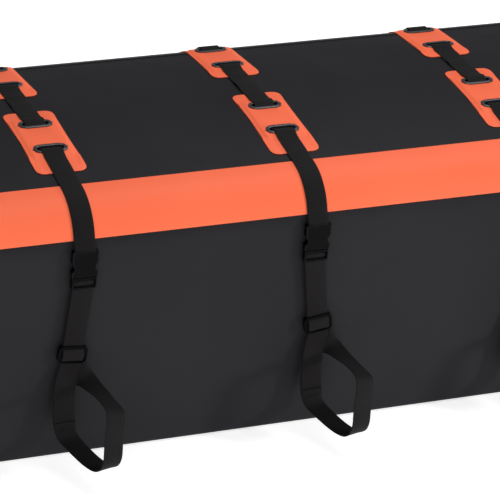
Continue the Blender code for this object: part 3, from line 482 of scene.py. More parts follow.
def cut(place, normal, **cleared):
    """In edit mode, slices the whole mesh along a plane; one side can be cleared."""
    pick_all()
    bpy.ops.mesh.bisect(plane_co=place, plane_no=normal, **cleared)


def merge_flats(angle):
    """In edit mode, dissolves faces that lie in one plane, within an angle in degrees."""
    pick_all()
    bpy.ops.mesh.dissolve_limited(angle_limit=radians(angle))


def modify(piece, kind, **settings):
    """Adds a modifier and applies it at once."""
    only(piece)
    modifier = piece.modifiers.new(kind.lower(), kind)
    for key, value in settings.items():
        setattr(modifier, key, value)
    bpy.ops.object.modifier_apply(modifier=modifier.name)


def round_edges(piece, width, angle, **more):
    """Bevels the edges that turn by more than an angle in degrees."""
    modify(piece, "BEVEL", width=width, segments=2, limit_method="ANGLE",
           angle_limit=radians(angle), **more)


def thicken(piece, thickness, side, rounding):
    """Gives a surface its thickness, inwards (-1) or outwards (1), and rounds its cut edges."""
    modify(piece, "SOLIDIFY", thickness=thickness, offset=side, use_even_offset=True)
    round_edges(piece, rounding, 60)


print("hand tools ready")

# %% [markdown]
# ## Starting a piece and finishing it
# A piece starts as a stretched cube or as a copy. When its shape is done, `finished` gives it
# its name, body and material, and hides the nodes that it stands for.

# %% Start and finish
def cube(place, size):
    """A box of a size, with its middle at a place."""
    only(camera)
    bpy.ops.mesh.primitive_cube_add(size=1, location=place)
    box = bpy.context.object
    box.scale = size
    bpy.ops.object.transform_apply(location=True, rotation=True, scale=True)
    return box


def twin(piece, name):
    """A copy with its own mesh."""
    only(piece)
    bpy.ops.object.duplicate()
    bpy.context.object.name = name
    return bpy.context.object


def from_node(name, copy_name):
    """A copy of a CAD node with its loose triangles merged, ready to be refined."""
    piece = bpy.data.objects.new(copy_name, nodes[name].data.copy())
    bpy.context.scene.collection.objects.link(piece)
    edit_on(piece)
    pick_all()
    bpy.ops.mesh.remove_doubles(threshold=0.00001)
    edit_off()
    return piece


def finished(piece, name, body, material, replaced=(), smooth=40):
    """Names a piece, gives it its material and its body, and hides the nodes it stands for."""
    only(piece)
    piece.name = name
    piece.data.materials.clear()
    piece.data.materials.append(material)
    piece.data.polygons.foreach_set("material_index", [0] * len(piece.data.polygons))
    bpy.ops.object.shade_smooth_by_angle(angle=radians(smooth))
    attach(piece, body)
    if replaced:
        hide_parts(*replaced)
    return piece


print("start and finish ready")

# %% [markdown]
# ## The whole skin, before it is cut
# A real bag of this kind is welded up over a form and then slit for the zip. We do the same: a
# cube is stretched to size, its upright edges are bevelled to the corner radius and its top edges
# to the shoulder radius. A grid of cuts gives the flat faces enough points to sag a little, and
# the lid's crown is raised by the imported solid's own curve.

# %% The form
FLAP_REACH = 0.086  # how far the flap runs onto the lid, from the front face
FLAT_TOP = SHOULDER_CENTRE + SHOULDER
STRAIGHT_X = LENGTH / 2 - CORNER
STRAIGHT_Y = DEPTH / 2 - CORNER
CROWN_FROM = SHOULDER_CENTRE + 0.07
CUTS_X, CUTS_Y, CUTS_Z = 26, 8, 14


def round_off(rule, radius, steps):
    """Bevels the edges that pass a rule."""
    pick("EDGE", rule)
    bpy.ops.mesh.bevel(offset=radius, segments=steps, affect="EDGES", clamp_overlap=False)


form = cube((0, 0, FLAT_TOP / 2), (LENGTH, DEPTH, FLAT_TOP))
edit_on(form)
round_off(lambda e: abs(e.verts[0].co.z - e.verts[1].co.z) > FLAT_TOP / 2, CORNER, 14)
round_off(lambda e: min(v.co.z for v in e.verts) > FLAT_TOP - HAIR, SHOULDER, 16)
round_off(lambda e: max(v.co.z for v in e.verts) < HAIR, FOOT, 4)
pick("FACE", lambda f: f.calc_center_median().z > FLAT_TOP - HAIR)
bpy.ops.mesh.inset(thickness=FLAP_REACH - SHOULDER)
for face in bmesh.from_edit_mesh(form.data).faces:
    face.material_index = 1 if face.select else 0
for i in range(-CUTS_X, CUTS_X + 1):
    cut((STRAIGHT_X * i / CUTS_X, 0, 0), (1, 0, 0))
for i in range(-CUTS_Y, CUTS_Y + 1):
    cut((0, STRAIGHT_Y * i / CUTS_Y, 0), (0, 1, 0))
for i in range(1, CUTS_Z):
    cut((0, 0, SHOULDER_CENTRE * i / CUTS_Z), (0, 0, 1))
edit_off()
for vertex in form.data.vertices:
    if vertex.co.z > CROWN_FROM:
        inset = inset_at(vertex.co.x, vertex.co.y)
        vertex.co.z = skin(run_at(inset))[1]
crown = max(v.co.z for v in form.data.vertices)
print("form:", len(form.data.polygons), "faces, crown at", round(crown, 4))

# %% [markdown]
# ## A sheet that isn't quite tight
# Walls of tarpaulin on thin foam are nearly flat, and the eye reads them as cloth by a slow
# waviness of a millimetre or two. `sag` moves a point inwards by smooth noise, with its own
# region of it for each face. It fades to nothing at the corners, the rim and the foot, where
# welds hold the sheet, and under the patches, where the straps pull it flat.

# %% Sag
STRAPS = {"left": -0.425, "middle": 0.0, "right": 0.425}
ENDS = [(side, where) for side in STRAPS for where in ("front", "back")]
LID_FROM = SHOULDER_CENTRE + 0.075
LID_SAG, FRONT_SAG, END_SAG = 0.0035, 0.0030, 0.0035
LID_FADE, FOOT_FADE, TOP_FADE, CORNER_FADE = 0.09, 0.09, 0.11, 0.10
PATCH_FLAT, PATCH_FADE = 0.05, 0.07
FOOT_FLAT = 0.012
SOLE = 0.005  # points lower than this stay put


def fade(distance, width):
    """Zero at an edge, one from a width on."""
    t = min(1, max(0, distance / width))
    return t * t * (3 - 2 * t)


def slow(x, y, z):
    """Smooth noise from 0 to 1."""
    return 0.5 + 0.5 * noise.noise(Vector((x, y, z)))


def sag(point):
    """How far the cloth lies inside its tight form at a place on the lid or a wall."""
    x, y, z = point
    if z > LID_FROM:
        near_strap = min(abs(x - strap) for strap in STRAPS.values())
        edge = min(LENGTH / 2 - abs(x), DEPTH / 2 - abs(y)) - FLAP_REACH
        loose = fade(edge, LID_FADE) * fade(near_strap - PATCH_FLAT, PATCH_FADE)
        return LID_SAG * loose * slow(x * 5, y * 6, 3)
    loose = fade(z - FOOT_FLAT, FOOT_FADE) * fade(SHOULDER_CENTRE - z, TOP_FADE)
    if abs(abs(y) - DEPTH / 2) < 10 * HAIR:
        return FRONT_SAG * loose * fade(STRAIGHT_X - abs(x), CORNER_FADE) * slow(x * 4, 7 + y, z * 6)
    if abs(abs(x) - LENGTH / 2) < 10 * HAIR:
        return END_SAG * loose * fade(STRAIGHT_Y - abs(y), CORNER_FADE) * slow(x, 11 + y * 5, z * 6)
    return 0.0


normals = [v.normal.copy() for v in form.data.vertices]
for vertex, normal in zip(form.data.vertices, normals):
    if vertex.co.z > SOLE:
        vertex.co -= normal * sag(vertex.co)
print("deepest sag", round(max(sag(v.co) for v in form.data.vertices) * 1000, 1), "mm")

# %% [markdown]
# ## Tub and lid
# The form is copied and slit along two heights, eight millimetres apart: below is the tub, above
# is the lid, and the zip closes the mouth between them. Solidify gives each sheet its thickness
# inwards, so the outside stays where it is.

# %% Cut the form
def part_of_form(name, height, keep_below):
    """A copy of the form, cut at a height."""
    piece = twin(form, name)
    edit_on(piece)
    cut((0, 0, height), (0, 0, 1), clear_outer=keep_below, clear_inner=not keep_below)
    edit_off()
    return piece


tub = part_of_form("bag_tub", RIM, True)
thicken(tub, WALL, -1, 0.0006)
finished(tub, "bag_tub", "bag", charcoal, ["tub"])
lid = part_of_form("bag_lid", RIM + MOUTH, False)
thicken(lid, WALL, -1, 0.0006)
lid_sides = [f"lid_side_{s}" for s in ("front", "back", "left", "right")]
finished(lid, "bag_lid", "bag", black, ["lid_top"] + lid_sides)
print("tub", len(tub.data.polygons), "faces, lid", len(lid.data.polygons), "faces")

# %% [markdown]
# ## The storm flap
# The orange band is welded to the lid along its top edge and hangs over the zip. Its sheet is the
# part of the form between two lines, so it follows every curve. It is lifted a little and
# thickened outwards.

# %% Storm flap
FLAP_SHEET = 0.0015
flap_low, flap_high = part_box("storm_flap")
flap = part_of_form("storm_flap", flap_low.z, False)
edit_on(flap)
cut((0, flap_high.y, 0), (0, 1, 0), clear_outer=True)
pick("FACE", lambda f: f.material_index == 1)
bpy.ops.mesh.delete(type="FACE")
pick_all()
bpy.ops.transform.shrink_fatten(value=GAP)
edit_off()
thicken(flap, FLAP_SHEET, 1, 0.0004)
finished(flap, "flap_band", "bag", orange, ["storm_flap"])
print("flap", len(flap.data.polygons), "faces")

# %% [markdown]
# ## The weld round the lid
# The lid's top panel is lapped over its side panels and welded. At the front the flap covers the
# lap, but along the ends and the back it shows as a flat band one centimetre wide. Heights on
# the rounded edge only depend on the way in from the outline, so two level cuts give the band.

# %% Lap weld
LAP_FROM, LAP_TO = 0.0600, 0.0710
LAP_SHEET = 0.0006
band = twin(form, "lap_band")
edit_on(band)
cut((0, 0, skin(run_at(LAP_FROM))[1]), (0, 0, 1), clear_inner=True)
cut((0, 0, skin(run_at(LAP_TO))[1]), (0, 0, 1), clear_outer=True)
cut((0, flap_high.y + 0.001, 0), (0, 1, 0), clear_inner=True)
pick_all()
bpy.ops.transform.shrink_fatten(value=HAIR)
edit_off()
thicken(band, LAP_SHEET, 1, 0.0002)
finished(band, "lid_lap_weld", "bag", black)
bpy.data.objects.remove(form)
print("lap weld", len(band.data.polygons), "faces")

# %% [markdown]
# ## Where a patch lies
# A patch's eyelets sit in two slots, whose places are runs over the skin. `unroll` goes the
# other way: it steps along the skin until a point lies straight above, and so finds its run.

# %% Slots and unrolling
SLOT_PITCH, FAR_SLOT = 0.086, 0.072
NEAR_SLOTS = {"left": 0.196, "middle": 0.182, "right": 0.194}


def slots_of(side, where):
    """The runs of a patch's outer and inner slots."""
    if where == "front":
        outer = run_at(NEAR_SLOTS[side])
        return outer, outer + SLOT_PITCH
    outer = 2 * HALF_RUN - run_at(FAR_SLOT)
    return outer, outer - SLOT_PITCH


def unroll(y, z):
    """The run and the lift of a point near the skin."""
    run = HALF_RUN + y
    for _ in range(8):
        (y0, z0), (y1, z1) = across(run - 0.0005, 0), across(run + 0.0005, 0)
        along_y, along_z = (y1 - y0) / 0.001, (z1 - z0) / 0.001
        off_y, off_z = y - (y0 + y1) / 2, z - (z0 + z1) / 2
        run += off_y * along_y + off_z * along_z
    return run, off_z * along_y - off_y * along_z


print("run from floor to floor:", round(2 * HALF_RUN, 3), "m")

# %% [markdown]
# ## The strap patches
# A patch is a welded sheet. It is raised where the strap runs under it, from one eyelet to the
# other, and that draws its long edges in a little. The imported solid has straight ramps, so a
# copy of it is cut into a fine grid, and every point is set on a smooth ramp.

# %% Patches
PATCH_SHEET = 0.0014
TUNNEL, TUNNEL_HALF, TUNNEL_SLOPE, TUNNEL_MARGIN = 0.0025, 0.034, 0.010, 0.002
OUTER_MARGIN, INNER_MARGIN = 0.072, 0.052
FLANGE_RADIUS = 0.014
EDGE_PULL, PULL_FADE = 0.0022, 0.012
RAMP_CUTS = [TUNNEL_SLOPE * i / 6 for i in range(7)]
ROW_STEP, COLUMN_STEP = 0.0068, 0.013


def patch(side, where):
    """A fine, smooth copy of one patch."""
    name = f"patch_{side}_{where}"
    piece = from_node(name, f"sheet_{side}_{where}")
    outer, inner = slots_of(side, where)
    way = 1 if inner > outer else -1
    ramp = [TUNNEL_HALF + step for step in RAMP_CUTS]
    columns = [-x for x in ramp] + [COLUMN_STEP * i for i in range(-2, 3)] + ramp
    rows = [-FLANGE_RADIUS - TUNNEL_MARGIN - step for step in RAMP_CUTS]
    rows += [SLOT_PITCH - row for row in rows] + [ROW_STEP * i - OUTER_MARGIN for i in range(1, 31)]
    edit_on(piece)
    merge_flats(0.3)
    for x in columns:
        cut((STRAPS[side] + x, 0, 0), (1, 0, 0))
    for row in rows:
        y, z = across(outer + way * row, 0)
        y_on, z_on = across(outer + way * row + 0.001, 0)
        cut((0, y, z), (0, y_on - y, z_on - z))
    edit_off()
    for vertex in piece.data.vertices:
        x = vertex.co.x - STRAPS[side]
        run, lift = unroll(vertex.co.y, vertex.co.z)
        row = way * (run - outer)
        past = max(-row, row - SLOT_PITCH) - FLANGE_RADIUS - TUNNEL_MARGIN
        ramp_left = min(TUNNEL_SLOPE - past, ramp[-1] - abs(x)) / TUNNEL_SLOPE
        straight = TUNNEL * min(1, max(0, ramp_left))
        top = lift - GAP - straight > PATCH_SHEET / 2
        raised = fade(TUNNEL_SLOPE - past, TUNNEL_SLOPE)
        pull = EDGE_PULL * raised * fade(abs(x) - TUNNEL_HALF, PULL_FADE) * (1 if x > 0 else -1)
        lift = GAP + TUNNEL * raised * fade(ramp[-1] - abs(x), TUNNEL_SLOPE)
        lift += PATCH_SHEET if top else 0
        vertex.co = (vertex.co.x - pull, *across(run, lift))
    round_edges(piece, 0.0004, 50)
    return finished(piece, f"strap_patch_{side}_{where}", "bag", orange, [name], smooth=50)


for side, where in ENDS:
    made = patch(side, where)
print("patch", len(made.data.polygons), "faces each")

# %% [markdown]
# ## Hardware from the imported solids
# Eyelets, buckles and slides only lack the small round edge of a moulding, which is where
# plastic catches the light. A copy has its flat faces dissolved back into whole polygons, so
# that a bevel can run cleanly along each edge. The faces that it makes are marked for the
# polish, and weighted normals keep the flats flat. The female half's outer face gets a sunk
# panel with a rim, by one inset with a depth.

# %% Moulded pieces
PANEL_MARGIN, PANEL_DEPTH = 0.0032, 0.0005


def moulding(name, new_name, body, material, radius, angle=28, panel=0):
    """A copy of a hard node with rounded edges, and maybe a sunk panel on its outer face."""
    piece = from_node(name, new_name)
    edit_on(piece)
    merge_flats(0.5)
    if panel:
        faces = bmesh.from_edit_mesh(piece.data).faces
        outer = max((f for f in faces if f.normal.y * panel > 0.99), key=lambda f: f.calc_area())
        place = outer.index
        pick("FACE", lambda f: f.index == place)
        bpy.ops.mesh.inset(thickness=PANEL_MARGIN, depth=-PANEL_DEPTH)
    edit_off()
    piece.data.materials.append(material)
    round_edges(piece, radius, angle, material=1)
    rounded = [float(face.material_index == 1) for face in piece.data.polygons]
    piece.data.attributes.new(POLISH, "FLOAT", "FACE").data.foreach_set("value", rounded)
    finished(piece, new_name, body, material, [name], smooth=50)
    modify(piece, "WEIGHTED_NORMAL", weight=80, keep_sharp=True)


for side, where in ENDS:
    key = f"{side}_{where}"
    outward = -1 if where == "front" else 1
    for which in ("outer", "inner"):
        moulding(f"eyelet_{key}_{which}", f"ring_{key}_{which}", "bag", eyelet_plastic, 0.0009, 20)
    moulding(f"buckle_female_{key}", f"socket_{key}", "bag", plastic, 0.0006, panel=outward)
    moulding(f"buckle_male_{key}", f"prongs_{key}", f"strap_end_{key}", plastic, 0.0006)
    moulding(f"triglide_{key}", f"slide_{key}", f"triglide_{key}", plastic, 0.0007)
print("mouldings for", len(ENDS), "strap ends")

# %% [markdown]
# ## Ribbons of webbing
# A strap is a ribbon along a path of centres, with the direction of its width at each. Its
# section is flat with rounded selvedges. Each ribbon gets a UV map in metres, along and across,
# so that the weave follows every bend.

# %% Ribbons
WEB = 0.0016
FLAT = Vector((1, 0, 0))
UPPER_SIDE = ((-1, 0), (-0.985, 0.8), (-0.93, 1), (0, 1), (0.93, 1), (0.985, 0.8))
SELVEDGE = UPPER_SIDE + tuple((-a, -b) for a, b in UPPER_SIDE)


def smooth_path(points, steps):
    """A smooth curve through all the points, with steps in each span."""
    padded = [2 * points[0] - points[1]] + list(points) + [2 * points[-1] - points[-2]]
    path = []
    for a, b, c, d in zip(padded, padded[1:], padded[2:], padded[3:]):
        for i in range(steps):
            t = i / steps
            path.append(0.5 * (2 * b + (c - a) * t + (2 * a - 5 * b + 4 * c - d) * t * t
                               + (3 * b - a - 3 * c + d) * t * t * t))
    path.append(points[-1])
    return path


def ribbon(name, centres, widths):
    """Webbing along a path, with its UV map."""
    bm = bmesh.new()
    layer = bm.loops.layers.uv.new("along")
    rings, lengths = [], [0.0]
    last = len(centres) - 1
    for i, (centre, width) in enumerate(zip(centres, widths)):
        tangent = (centres[min(i + 1, last)] - centres[max(i - 1, 0)]).normalized()
        side = (width - tangent * width.dot(tangent)).normalized() * HALF_WEB
        face = tangent.cross(side).normalized() * WEB / 2
        rings.append([bm.verts.new(centre + side * a + face * b) for a, b in SELVEDGE])
        if i:
            lengths.append(lengths[-1] + (centre - centres[i - 1]).length)
    count = len(SELVEDGE)
    for i in range(last):
        for j in range(count):
            k = (j + 1) % count
            quad = bm.faces.new((rings[i][j], rings[i][k], rings[i + 1][k], rings[i + 1][j]))
            places = ((i, j), (i, k), (i + 1, k), (i + 1, j))
            for loop, (row, column) in zip(quad.loops, places):
                loop[layer].uv = (lengths[row], SELVEDGE[column][0] * HALF_WEB)
    for ring, row in ((rings[0], 0), (rings[-1], last)):
        cap = bm.faces.new(ring)
        for loop, (a, _) in zip(cap.loops, SELVEDGE):
            loop[layer].uv = (lengths[row], a * HALF_WEB)
    bmesh.ops.recalc_face_normals(bm, faces=bm.faces)
    mesh = bpy.data.meshes.new(name)
    bm.to_mesh(mesh)
    bm.free()
    piece = bpy.data.objects.new(name, mesh)
    bpy.context.scene.collection.objects.link(piece)
    return piece, lengths


print("ribbon section has", len(SELVEDGE), "points")

# %% [markdown]
# ## How high a strap lies
# Each long strap climbs over the flap, dives through the first patch, crosses the lid and dives
# through the second. `strap_lifts` gives its height over the skin at places along the way.
# Between them the strap eases from one height to the next, but never cuts a corner under it.

# %% Heights along a strap
WEB_LIFT = GAP + WEB / 2
SLACK = 0.0002  # extra lift where the webbing goes over an edge
STEP_DOWN = 0.006  # length in which it comes down from an edge
SETTLED = 0.014  # past a flange it lies on the patch from here on
FLAP_TOP = GAP + FLAP_SHEET
PATCH_TOP = GAP + TUNNEL + PATCH_SHEET
FLANGE_TOP = PATCH_TOP + GAP + 0.0020
SLOT_RADIUS, FLANGE_CROWN, FLANGE_EDGE = 0.0065, 0.003, 0.0008
FRONT_JOIN, REAR_JOIN = 0.0038, 0.007  # under the rim, where the turns to the buckles start
EASE = 0.007


def strap_lifts(side):
    """The webbing's (run, lift) places from the flap's edge to the back wall."""
    band = FLAP_TOP + WEB_LIFT + SLACK
    margin = GAP + PATCH_SHEET + WEB_LIFT + SLACK
    rim = FLANGE_TOP + WEB_LIFT
    around = (
        (-SLOT_RADIUS - FLANGE_CROWN, WEB_LIFT),
        (-SLOT_RADIUS, WEB_LIFT + SLACK),
        (SLOT_RADIUS, rim),
        (FLANGE_RADIUS - FLANGE_CROWN, rim + SLACK),
        (FLANGE_RADIUS + FLANGE_EDGE, rim),
        (FLANGE_RADIUS + FLANGE_CROWN, PATCH_TOP + WEB_LIFT + 2 * SLACK),
        (FLANGE_RADIUS + SETTLED, margin),
    )
    start = run_at_height(RIM - FRONT_JOIN)
    end = 2 * HALF_RUN - run_at_height(RIM - REAR_JOIN)
    flap_end = run_at(FLAP_REACH) + WEB / 2
    points = [(start, band), (flap_end, band), (flap_end + STEP_DOWN, WEB_LIFT), (end, WEB_LIFT)]
    for outer, inner in (slots_of(side, "front"), slots_of(side, "back")):
        away = -1 if outer < inner else 1
        for slot, way, reach in ((outer, away, OUTER_MARGIN), (inner, -away, INNER_MARGIN)):
            edge = reach + WEB / 2
            points += [(slot + way * distance, lift) for distance, lift in around]
            points += [(slot + way * edge, margin), (slot + way * (edge + STEP_DOWN), WEB_LIFT)]
    return sorted(points)


def lift_at(points, run):
    """The lift at a run, straight between places."""
    for (run_a, lift_a), (run_b, lift_b) in zip(points, points[1:]):
        if run_a <= run <= run_b:
            return lift_a + (lift_b - lift_a) * (run - run_a) / (run_b - run_a)
    return points[-1][1] if run > points[-1][0] else points[0][1]


def eased(points, run):
    """The lift averaged round a run, and never below the straight one."""
    around = [lift_at(points, run + EASE * i / 4) for i in range(-4, 5)]
    return max(lift_at(points, run), sum(around) / len(around))


print("a strap crosses", len(strap_lifts("left")), "places")

# %% [markdown]
# ## Straps over the lid
# At each end the strap turns round the bar of a female half and is sewn to itself. Between the
# patches it isn't quite tight, so it bows up a little and its width tilts in slow waves.

# %% Strap over the lid
BUCKLE_THICKNESS = 0.013
BUCKLE_OUT = 0.0005 + BUCKLE_THICKNESS / 2
BUCKLE_TOP = RIM - 0.022
BAR_Z = BUCKLE_TOP - 0.007
BAR_RADIUS = 0.0025
SEWN_END = 0.011
TURN_STEPS = 12
OVER_STEPS = 330
FREE_MARGIN, FREE_FADE = 0.010, 0.03
BOW, TILT = 0.0016, 0.055
WAVES = {"left": 38, "middle": 30, "right": 75}


def round_bar(height, radius, way):
    """Half a turn round a bar, under it (-1) or over it (1), as (out of the wall, height)."""
    angles = [pi * i / TURN_STEPS for i in range(TURN_STEPS + 1)]
    return [(BUCKLE_OUT + way * radius * cos(a), height + way * radius * sin(a)) for a in angles]


def buckle_turn(lifted_out):
    """Out of the wall and up, round the female half's bar and back to its sewn end."""
    radius = BAR_RADIUS + GAP + WEB / 2
    turn = [(WEB_LIFT, BUCKLE_TOP + SEWN_END), (WEB_LIFT + SLACK, BUCKLE_TOP + SEWN_END / 2)]
    turn.append((BUCKLE_OUT - radius, BAR_Z + BAR_RADIUS))
    turn += round_bar(BAR_Z, radius, -1)
    turn.append((BUCKLE_OUT + radius, BAR_Z + 2 * BAR_RADIUS))
    turn.append((BUCKLE_OUT + radius - 4 * SLACK, BUCKLE_TOP + SLACK))
    turn.append((lifted_out + 4 * SLACK, BUCKLE_TOP + SEWN_END))
    return turn


def over_strap(side):
    """One long strap, from buckle to buckle."""
    lifts = strap_lifts(side)
    start, end = lifts[0][0], lifts[-1][0]
    free_from = slots_of(side, "front")[1] + INNER_MARGIN + FREE_MARGIN
    free_to = slots_of(side, "back")[1] - INNER_MARGIN - FREE_MARGIN
    middle, tilts = [], []
    for i in range(OVER_STEPS + 1):
        run = start + (end - start) * i / OVER_STEPS
        free = fade(run - free_from, FREE_FADE) * fade(free_to - run, FREE_FADE)
        tilts.append(TILT * free * sin(run * WAVES[side]))
        middle.append(across(run, eased(lifts, run) + BOW * free))
    front = [(-DEPTH / 2 - out, z) for out, z in buckle_turn(FLAP_TOP + WEB_LIFT)]
    rear = [(DEPTH / 2 + out, z) for out, z in buckle_turn(GAP + 2 * WEB)]
    centres = [Vector((STRAPS[side], y, z)) for y, z in front + middle + rear[::-1]]
    widths = [FLAT] * len(front) + [Vector((1, 0, tilt)) for tilt in tilts] + [FLAT] * len(rear)
    piece, lengths = ribbon(f"strap_over_{side}", centres, widths)
    return piece, lengths, len(front), len(rear)


straps = {side: over_strap(side) for side in STRAPS}
_, lengths, front_count, rear_count = straps["left"]
sewn = lengths[front_count - 2] + 0.003, lengths[front_count] + 0.004
rear_sewn = lengths[-rear_count - 1] - 0.004, lengths[-rear_count + 1] - 0.003
over_cloth = webbing_cloth("webbing_over_lid", [sewn, rear_sewn])
for side, (piece, _, _, _) in straps.items():
    finished(piece, f"strap_over_{side}", "bag", over_cloth, [f"webbing_over_{side}"], smooth=60)
print("strap over the lid:", round(lengths[-1], 3), "m of webbing")

# %% [markdown]
# ## The path of a strap end
# Below each buckle the webbing runs doubled through the slide and opens into a loop that a
# rack's rail passes through. The loop's path was read off the photograph: each row is a place
# (sideways, out of the wall, height) and the direction of the webbing's width there. The free
# tail hangs in front of the loop and ends in a hem, folded outwards and sewn. Each strap leans
# a little, by its own amount.

# %% Path of a strap end
LEANS = {"left": -0.015, "middle": 0.021, "right": -0.004}
LOOP = (
    ((-0.008, 0.0110, 0.155), (1, 0, 0)),
    ((-0.012, 0.0180, 0.115), (1, 0, 0)),
    ((-0.011, 0.0240, 0.080), (1, 0, 0)),
    ((-0.006, 0.0330, 0.059), (0.99, -0.10, 0)),
    ((0.003, 0.0530, 0.049), (0.98, -0.19, 0)),
    ((0.019, 0.0980, 0.042), (0.97, -0.22, 0)),
    ((0.032, 0.1260, 0.045), (0.97, -0.22, 0)),
    ((0.040, 0.1350, 0.064), (0.97, -0.22, 0)),
    ((0.043, 0.1290, 0.100), (0.97, -0.22, 0)),
    ((0.046, 0.1240, 0.135), (0.97, -0.22, 0)),
    ((0.046, 0.1130, 0.153), (0.93, -0.25, -0.20)),
    ((0.043, 0.0800, 0.154), (0.92, -0.22, -0.28)),
    ((0.038, 0.0420, 0.152), (0.96, -0.20, -0.12)),
    ((0.029, 0.0150, 0.157), (0.99, -0.05, 0.10)),
    ((0.017, 0.0052, 0.167), (0.96, 0.00, 0.26)),
    ((0.009, 0.0049, 0.180), (0.96, 0.00, 0.26)),
)
TAIL = ((-0.009, 0.0265, 0.070), (-0.011, 0.0205, 0.115), (-0.008, 0.0132, 0.155))
HEM = ((-0.0096, 0.0266, 0.084), (-0.0093, 0.0276, 0.078), (-0.009, 0.0286, 0.0706),
       (-0.009, 0.0282, 0.0696), (-0.009, 0.0274, 0.0691), (-0.009, 0.0267, 0.0694))
STRAIGHT_END = 0.185  # height where the doubled webbing starts to curve into the loop
MOUTH_Z = BUCKLE_TOP - 0.049
MALE_LOW = MOUTH_Z - 0.023
MALE_BAR_Z = MOUTH_Z - 0.0112
MALE_BAR_RADIUS = 0.0022
CROSSBAR, CROSSBAR_THICKNESS = 0.0045, 0.0034
LAYER = (WEB + GAP) / 2  # half the pitch of two layers of webbing
WEB_OUT = BUCKLE_OUT + BUCKLE_THICKNESS / 2 - CROSSBAR_THICKNESS - GAP - WEB / 2 - LAYER


def lean_at(side, z):
    """How far the doubled webbing has moved sideways at a height."""
    return LEANS[side] * min(1, max(0, (MALE_LOW - z) / (MALE_LOW - STRAIGHT_END)))


def to_wall(side, where, vector, place=True):
    """From a strap end's own frame (sideways, out, up) to the bag's."""
    turn = 1 if where == "front" else -1
    x, out, z = vector
    if place:
        return Vector((STRAPS[side] + turn * x, -turn * (DEPTH / 2 + out), z))
    return Vector((turn * x, -turn * out, z))


def leaning_ribbon(name, side, where, path, widths):
    """Webbing along a path in a strap end's own frame, which leans with its strap."""
    centres = [to_wall(side, where, (p.x + lean_at(side, p.z), p.y, p.z)) for p in path]
    return ribbon(name, centres, [to_wall(side, where, width, False) for width in widths])


print("straight webbing ends", STRAIGHT_END, "m up")

# %% [markdown]
# ## Strap ends and their loops
# One length of webbing makes each strap end. The tail comes up the front, turns over the male
# half's bar, runs down behind and opens into the loop, whose end is sewn in.

# %% Loops
PATH_STEPS = 7


def strap_end(side, where):
    """Tail, turn round the male half's bar, doubled length and hanging loop."""
    radius = MALE_BAR_RADIUS + GAP + WEB / 2
    front_out, back_out = WEB_OUT + LAYER, WEB_OUT - LAYER
    hem = [Vector(p) for p in HEM]
    tail_points = [Vector(p) for p in TAIL] + [Vector((0, front_out, STRAIGHT_END))]
    tail = smooth_path(tail_points, PATH_STEPS)
    turn = [(front_out, MALE_LOW), (front_out, MALE_LOW + CROSSBAR)]
    turn += round_bar(MALE_BAR_Z, radius, 1)
    turn += [(back_out, MALE_LOW + CROSSBAR), (back_out, MALE_LOW)]
    turn = [Vector((0, out, z)) for out, z in turn]
    loop_points = [Vector((0, back_out, MALE_LOW)), Vector((0, back_out, STRAIGHT_END))]
    loop_points += [Vector(p) for p, _ in LOOP]
    loop = smooth_path(loop_points, PATH_STEPS)[PATH_STEPS:]
    loop_widths = [FLAT, FLAT] + [Vector(w) for _, w in LOOP]
    widths = [FLAT] * len(hem + tail + turn) + smooth_path(loop_widths, PATH_STEPS)[PATH_STEPS:]
    return leaning_ribbon(f"strap_loop_{side}_{where}", side, where, hem + tail + turn + loop, widths)


loops = {(side, where): strap_end(side, where) for side, where in ENDS}
total = loops["left", "front"][1][-1]
loop_cloth = webbing_cloth("webbing_loops", [(0.002, 0.010), (total - 0.030, total - 0.006)])
for (side, where), (piece, _) in loops.items():
    finished(piece, f"strap_loop_{side}_{where}", f"strap_end_{side}_{where}", loop_cloth,
             [f"webbing_lower_{side}_{where}"], smooth=60)
print("strap end:", round(total, 3), "m of webbing")

# %% [markdown]
# ## The fold of webbing in each slide
# In the slide's window the webbing stands proud as it goes round the middle bar. It is a short
# ribbon of its own, because it moves with the slide along the strap.

# %% Folds in the slides
GLIDE_Z = STRAIGHT_END + 0.024
FOLD_OUT = WEB_OUT + LAYER + WEB + 2 * GAP
BULGE = ((-0.0001, 0.0112), (0.0016, 0.0100), (0.0034, 0.0066), (0.0042, 0.0), (0.0034, -0.0066),
         (0.0016, -0.0100), (-0.0001, -0.0112))


def slide_fold(side, where):
    """The roll of webbing that fills the slide's window."""
    path = smooth_path([Vector((0, FOLD_OUT + out, GLIDE_Z + z)) for out, z in BULGE], 4)
    slant = Vector((MALE_LOW - STRAIGHT_END, 0, LEANS[side])).normalized()
    return leaning_ribbon(f"slide_fold_{side}_{where}", side, where, path, [slant] * len(path))[0]


fold_cloth = webbing_cloth("webbing_folds")
for side, where in ENDS:
    key = f"{side}_{where}"
    finished(slide_fold(side, where), f"slide_fold_{key}", f"triglide_{key}", fold_cloth,
             smooth=60)
print(len(ENDS), "folds in the slides")

# %% [markdown]
# ## Zip and hinge strip
# The zip's tapes and the hinge strip are plain bands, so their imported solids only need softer
# edges. The slider and its pull are small castings, treated as mouldings.

# %% Zip
def soft_strip(name, new_name, material):
    """A copy of a strip node with its edges rounded."""
    piece = from_node(name, new_name)
    edit_on(piece)
    merge_flats(0.3)
    edit_off()
    round_edges(piece, 0.0002, 40)
    finished(piece, new_name, "bag", material, [name], smooth=50)


soft_strip("zip_lower", "zip_tape_lower", tape)
soft_strip("zip_upper", "zip_tape_upper", tape)
soft_strip("hinge_strip", "hinge_band", charcoal)
moulding("zip_slider", "zip_runner", "zip_slider", coated_metal, 0.0003)
moulding("zip_pull", "zip_tab", "zip_pull", coated_metal, 0.0003)
print("three strips, a slider and its pull")

# %% [markdown]
# ## Teeth
# Most of the zip hides under the flap, but along both ends it is bare and needs its teeth. One
# tooth is a bevelled cube with its head drawn in. An Array repeats it, and each row is stood up
# in its side of the mouth.

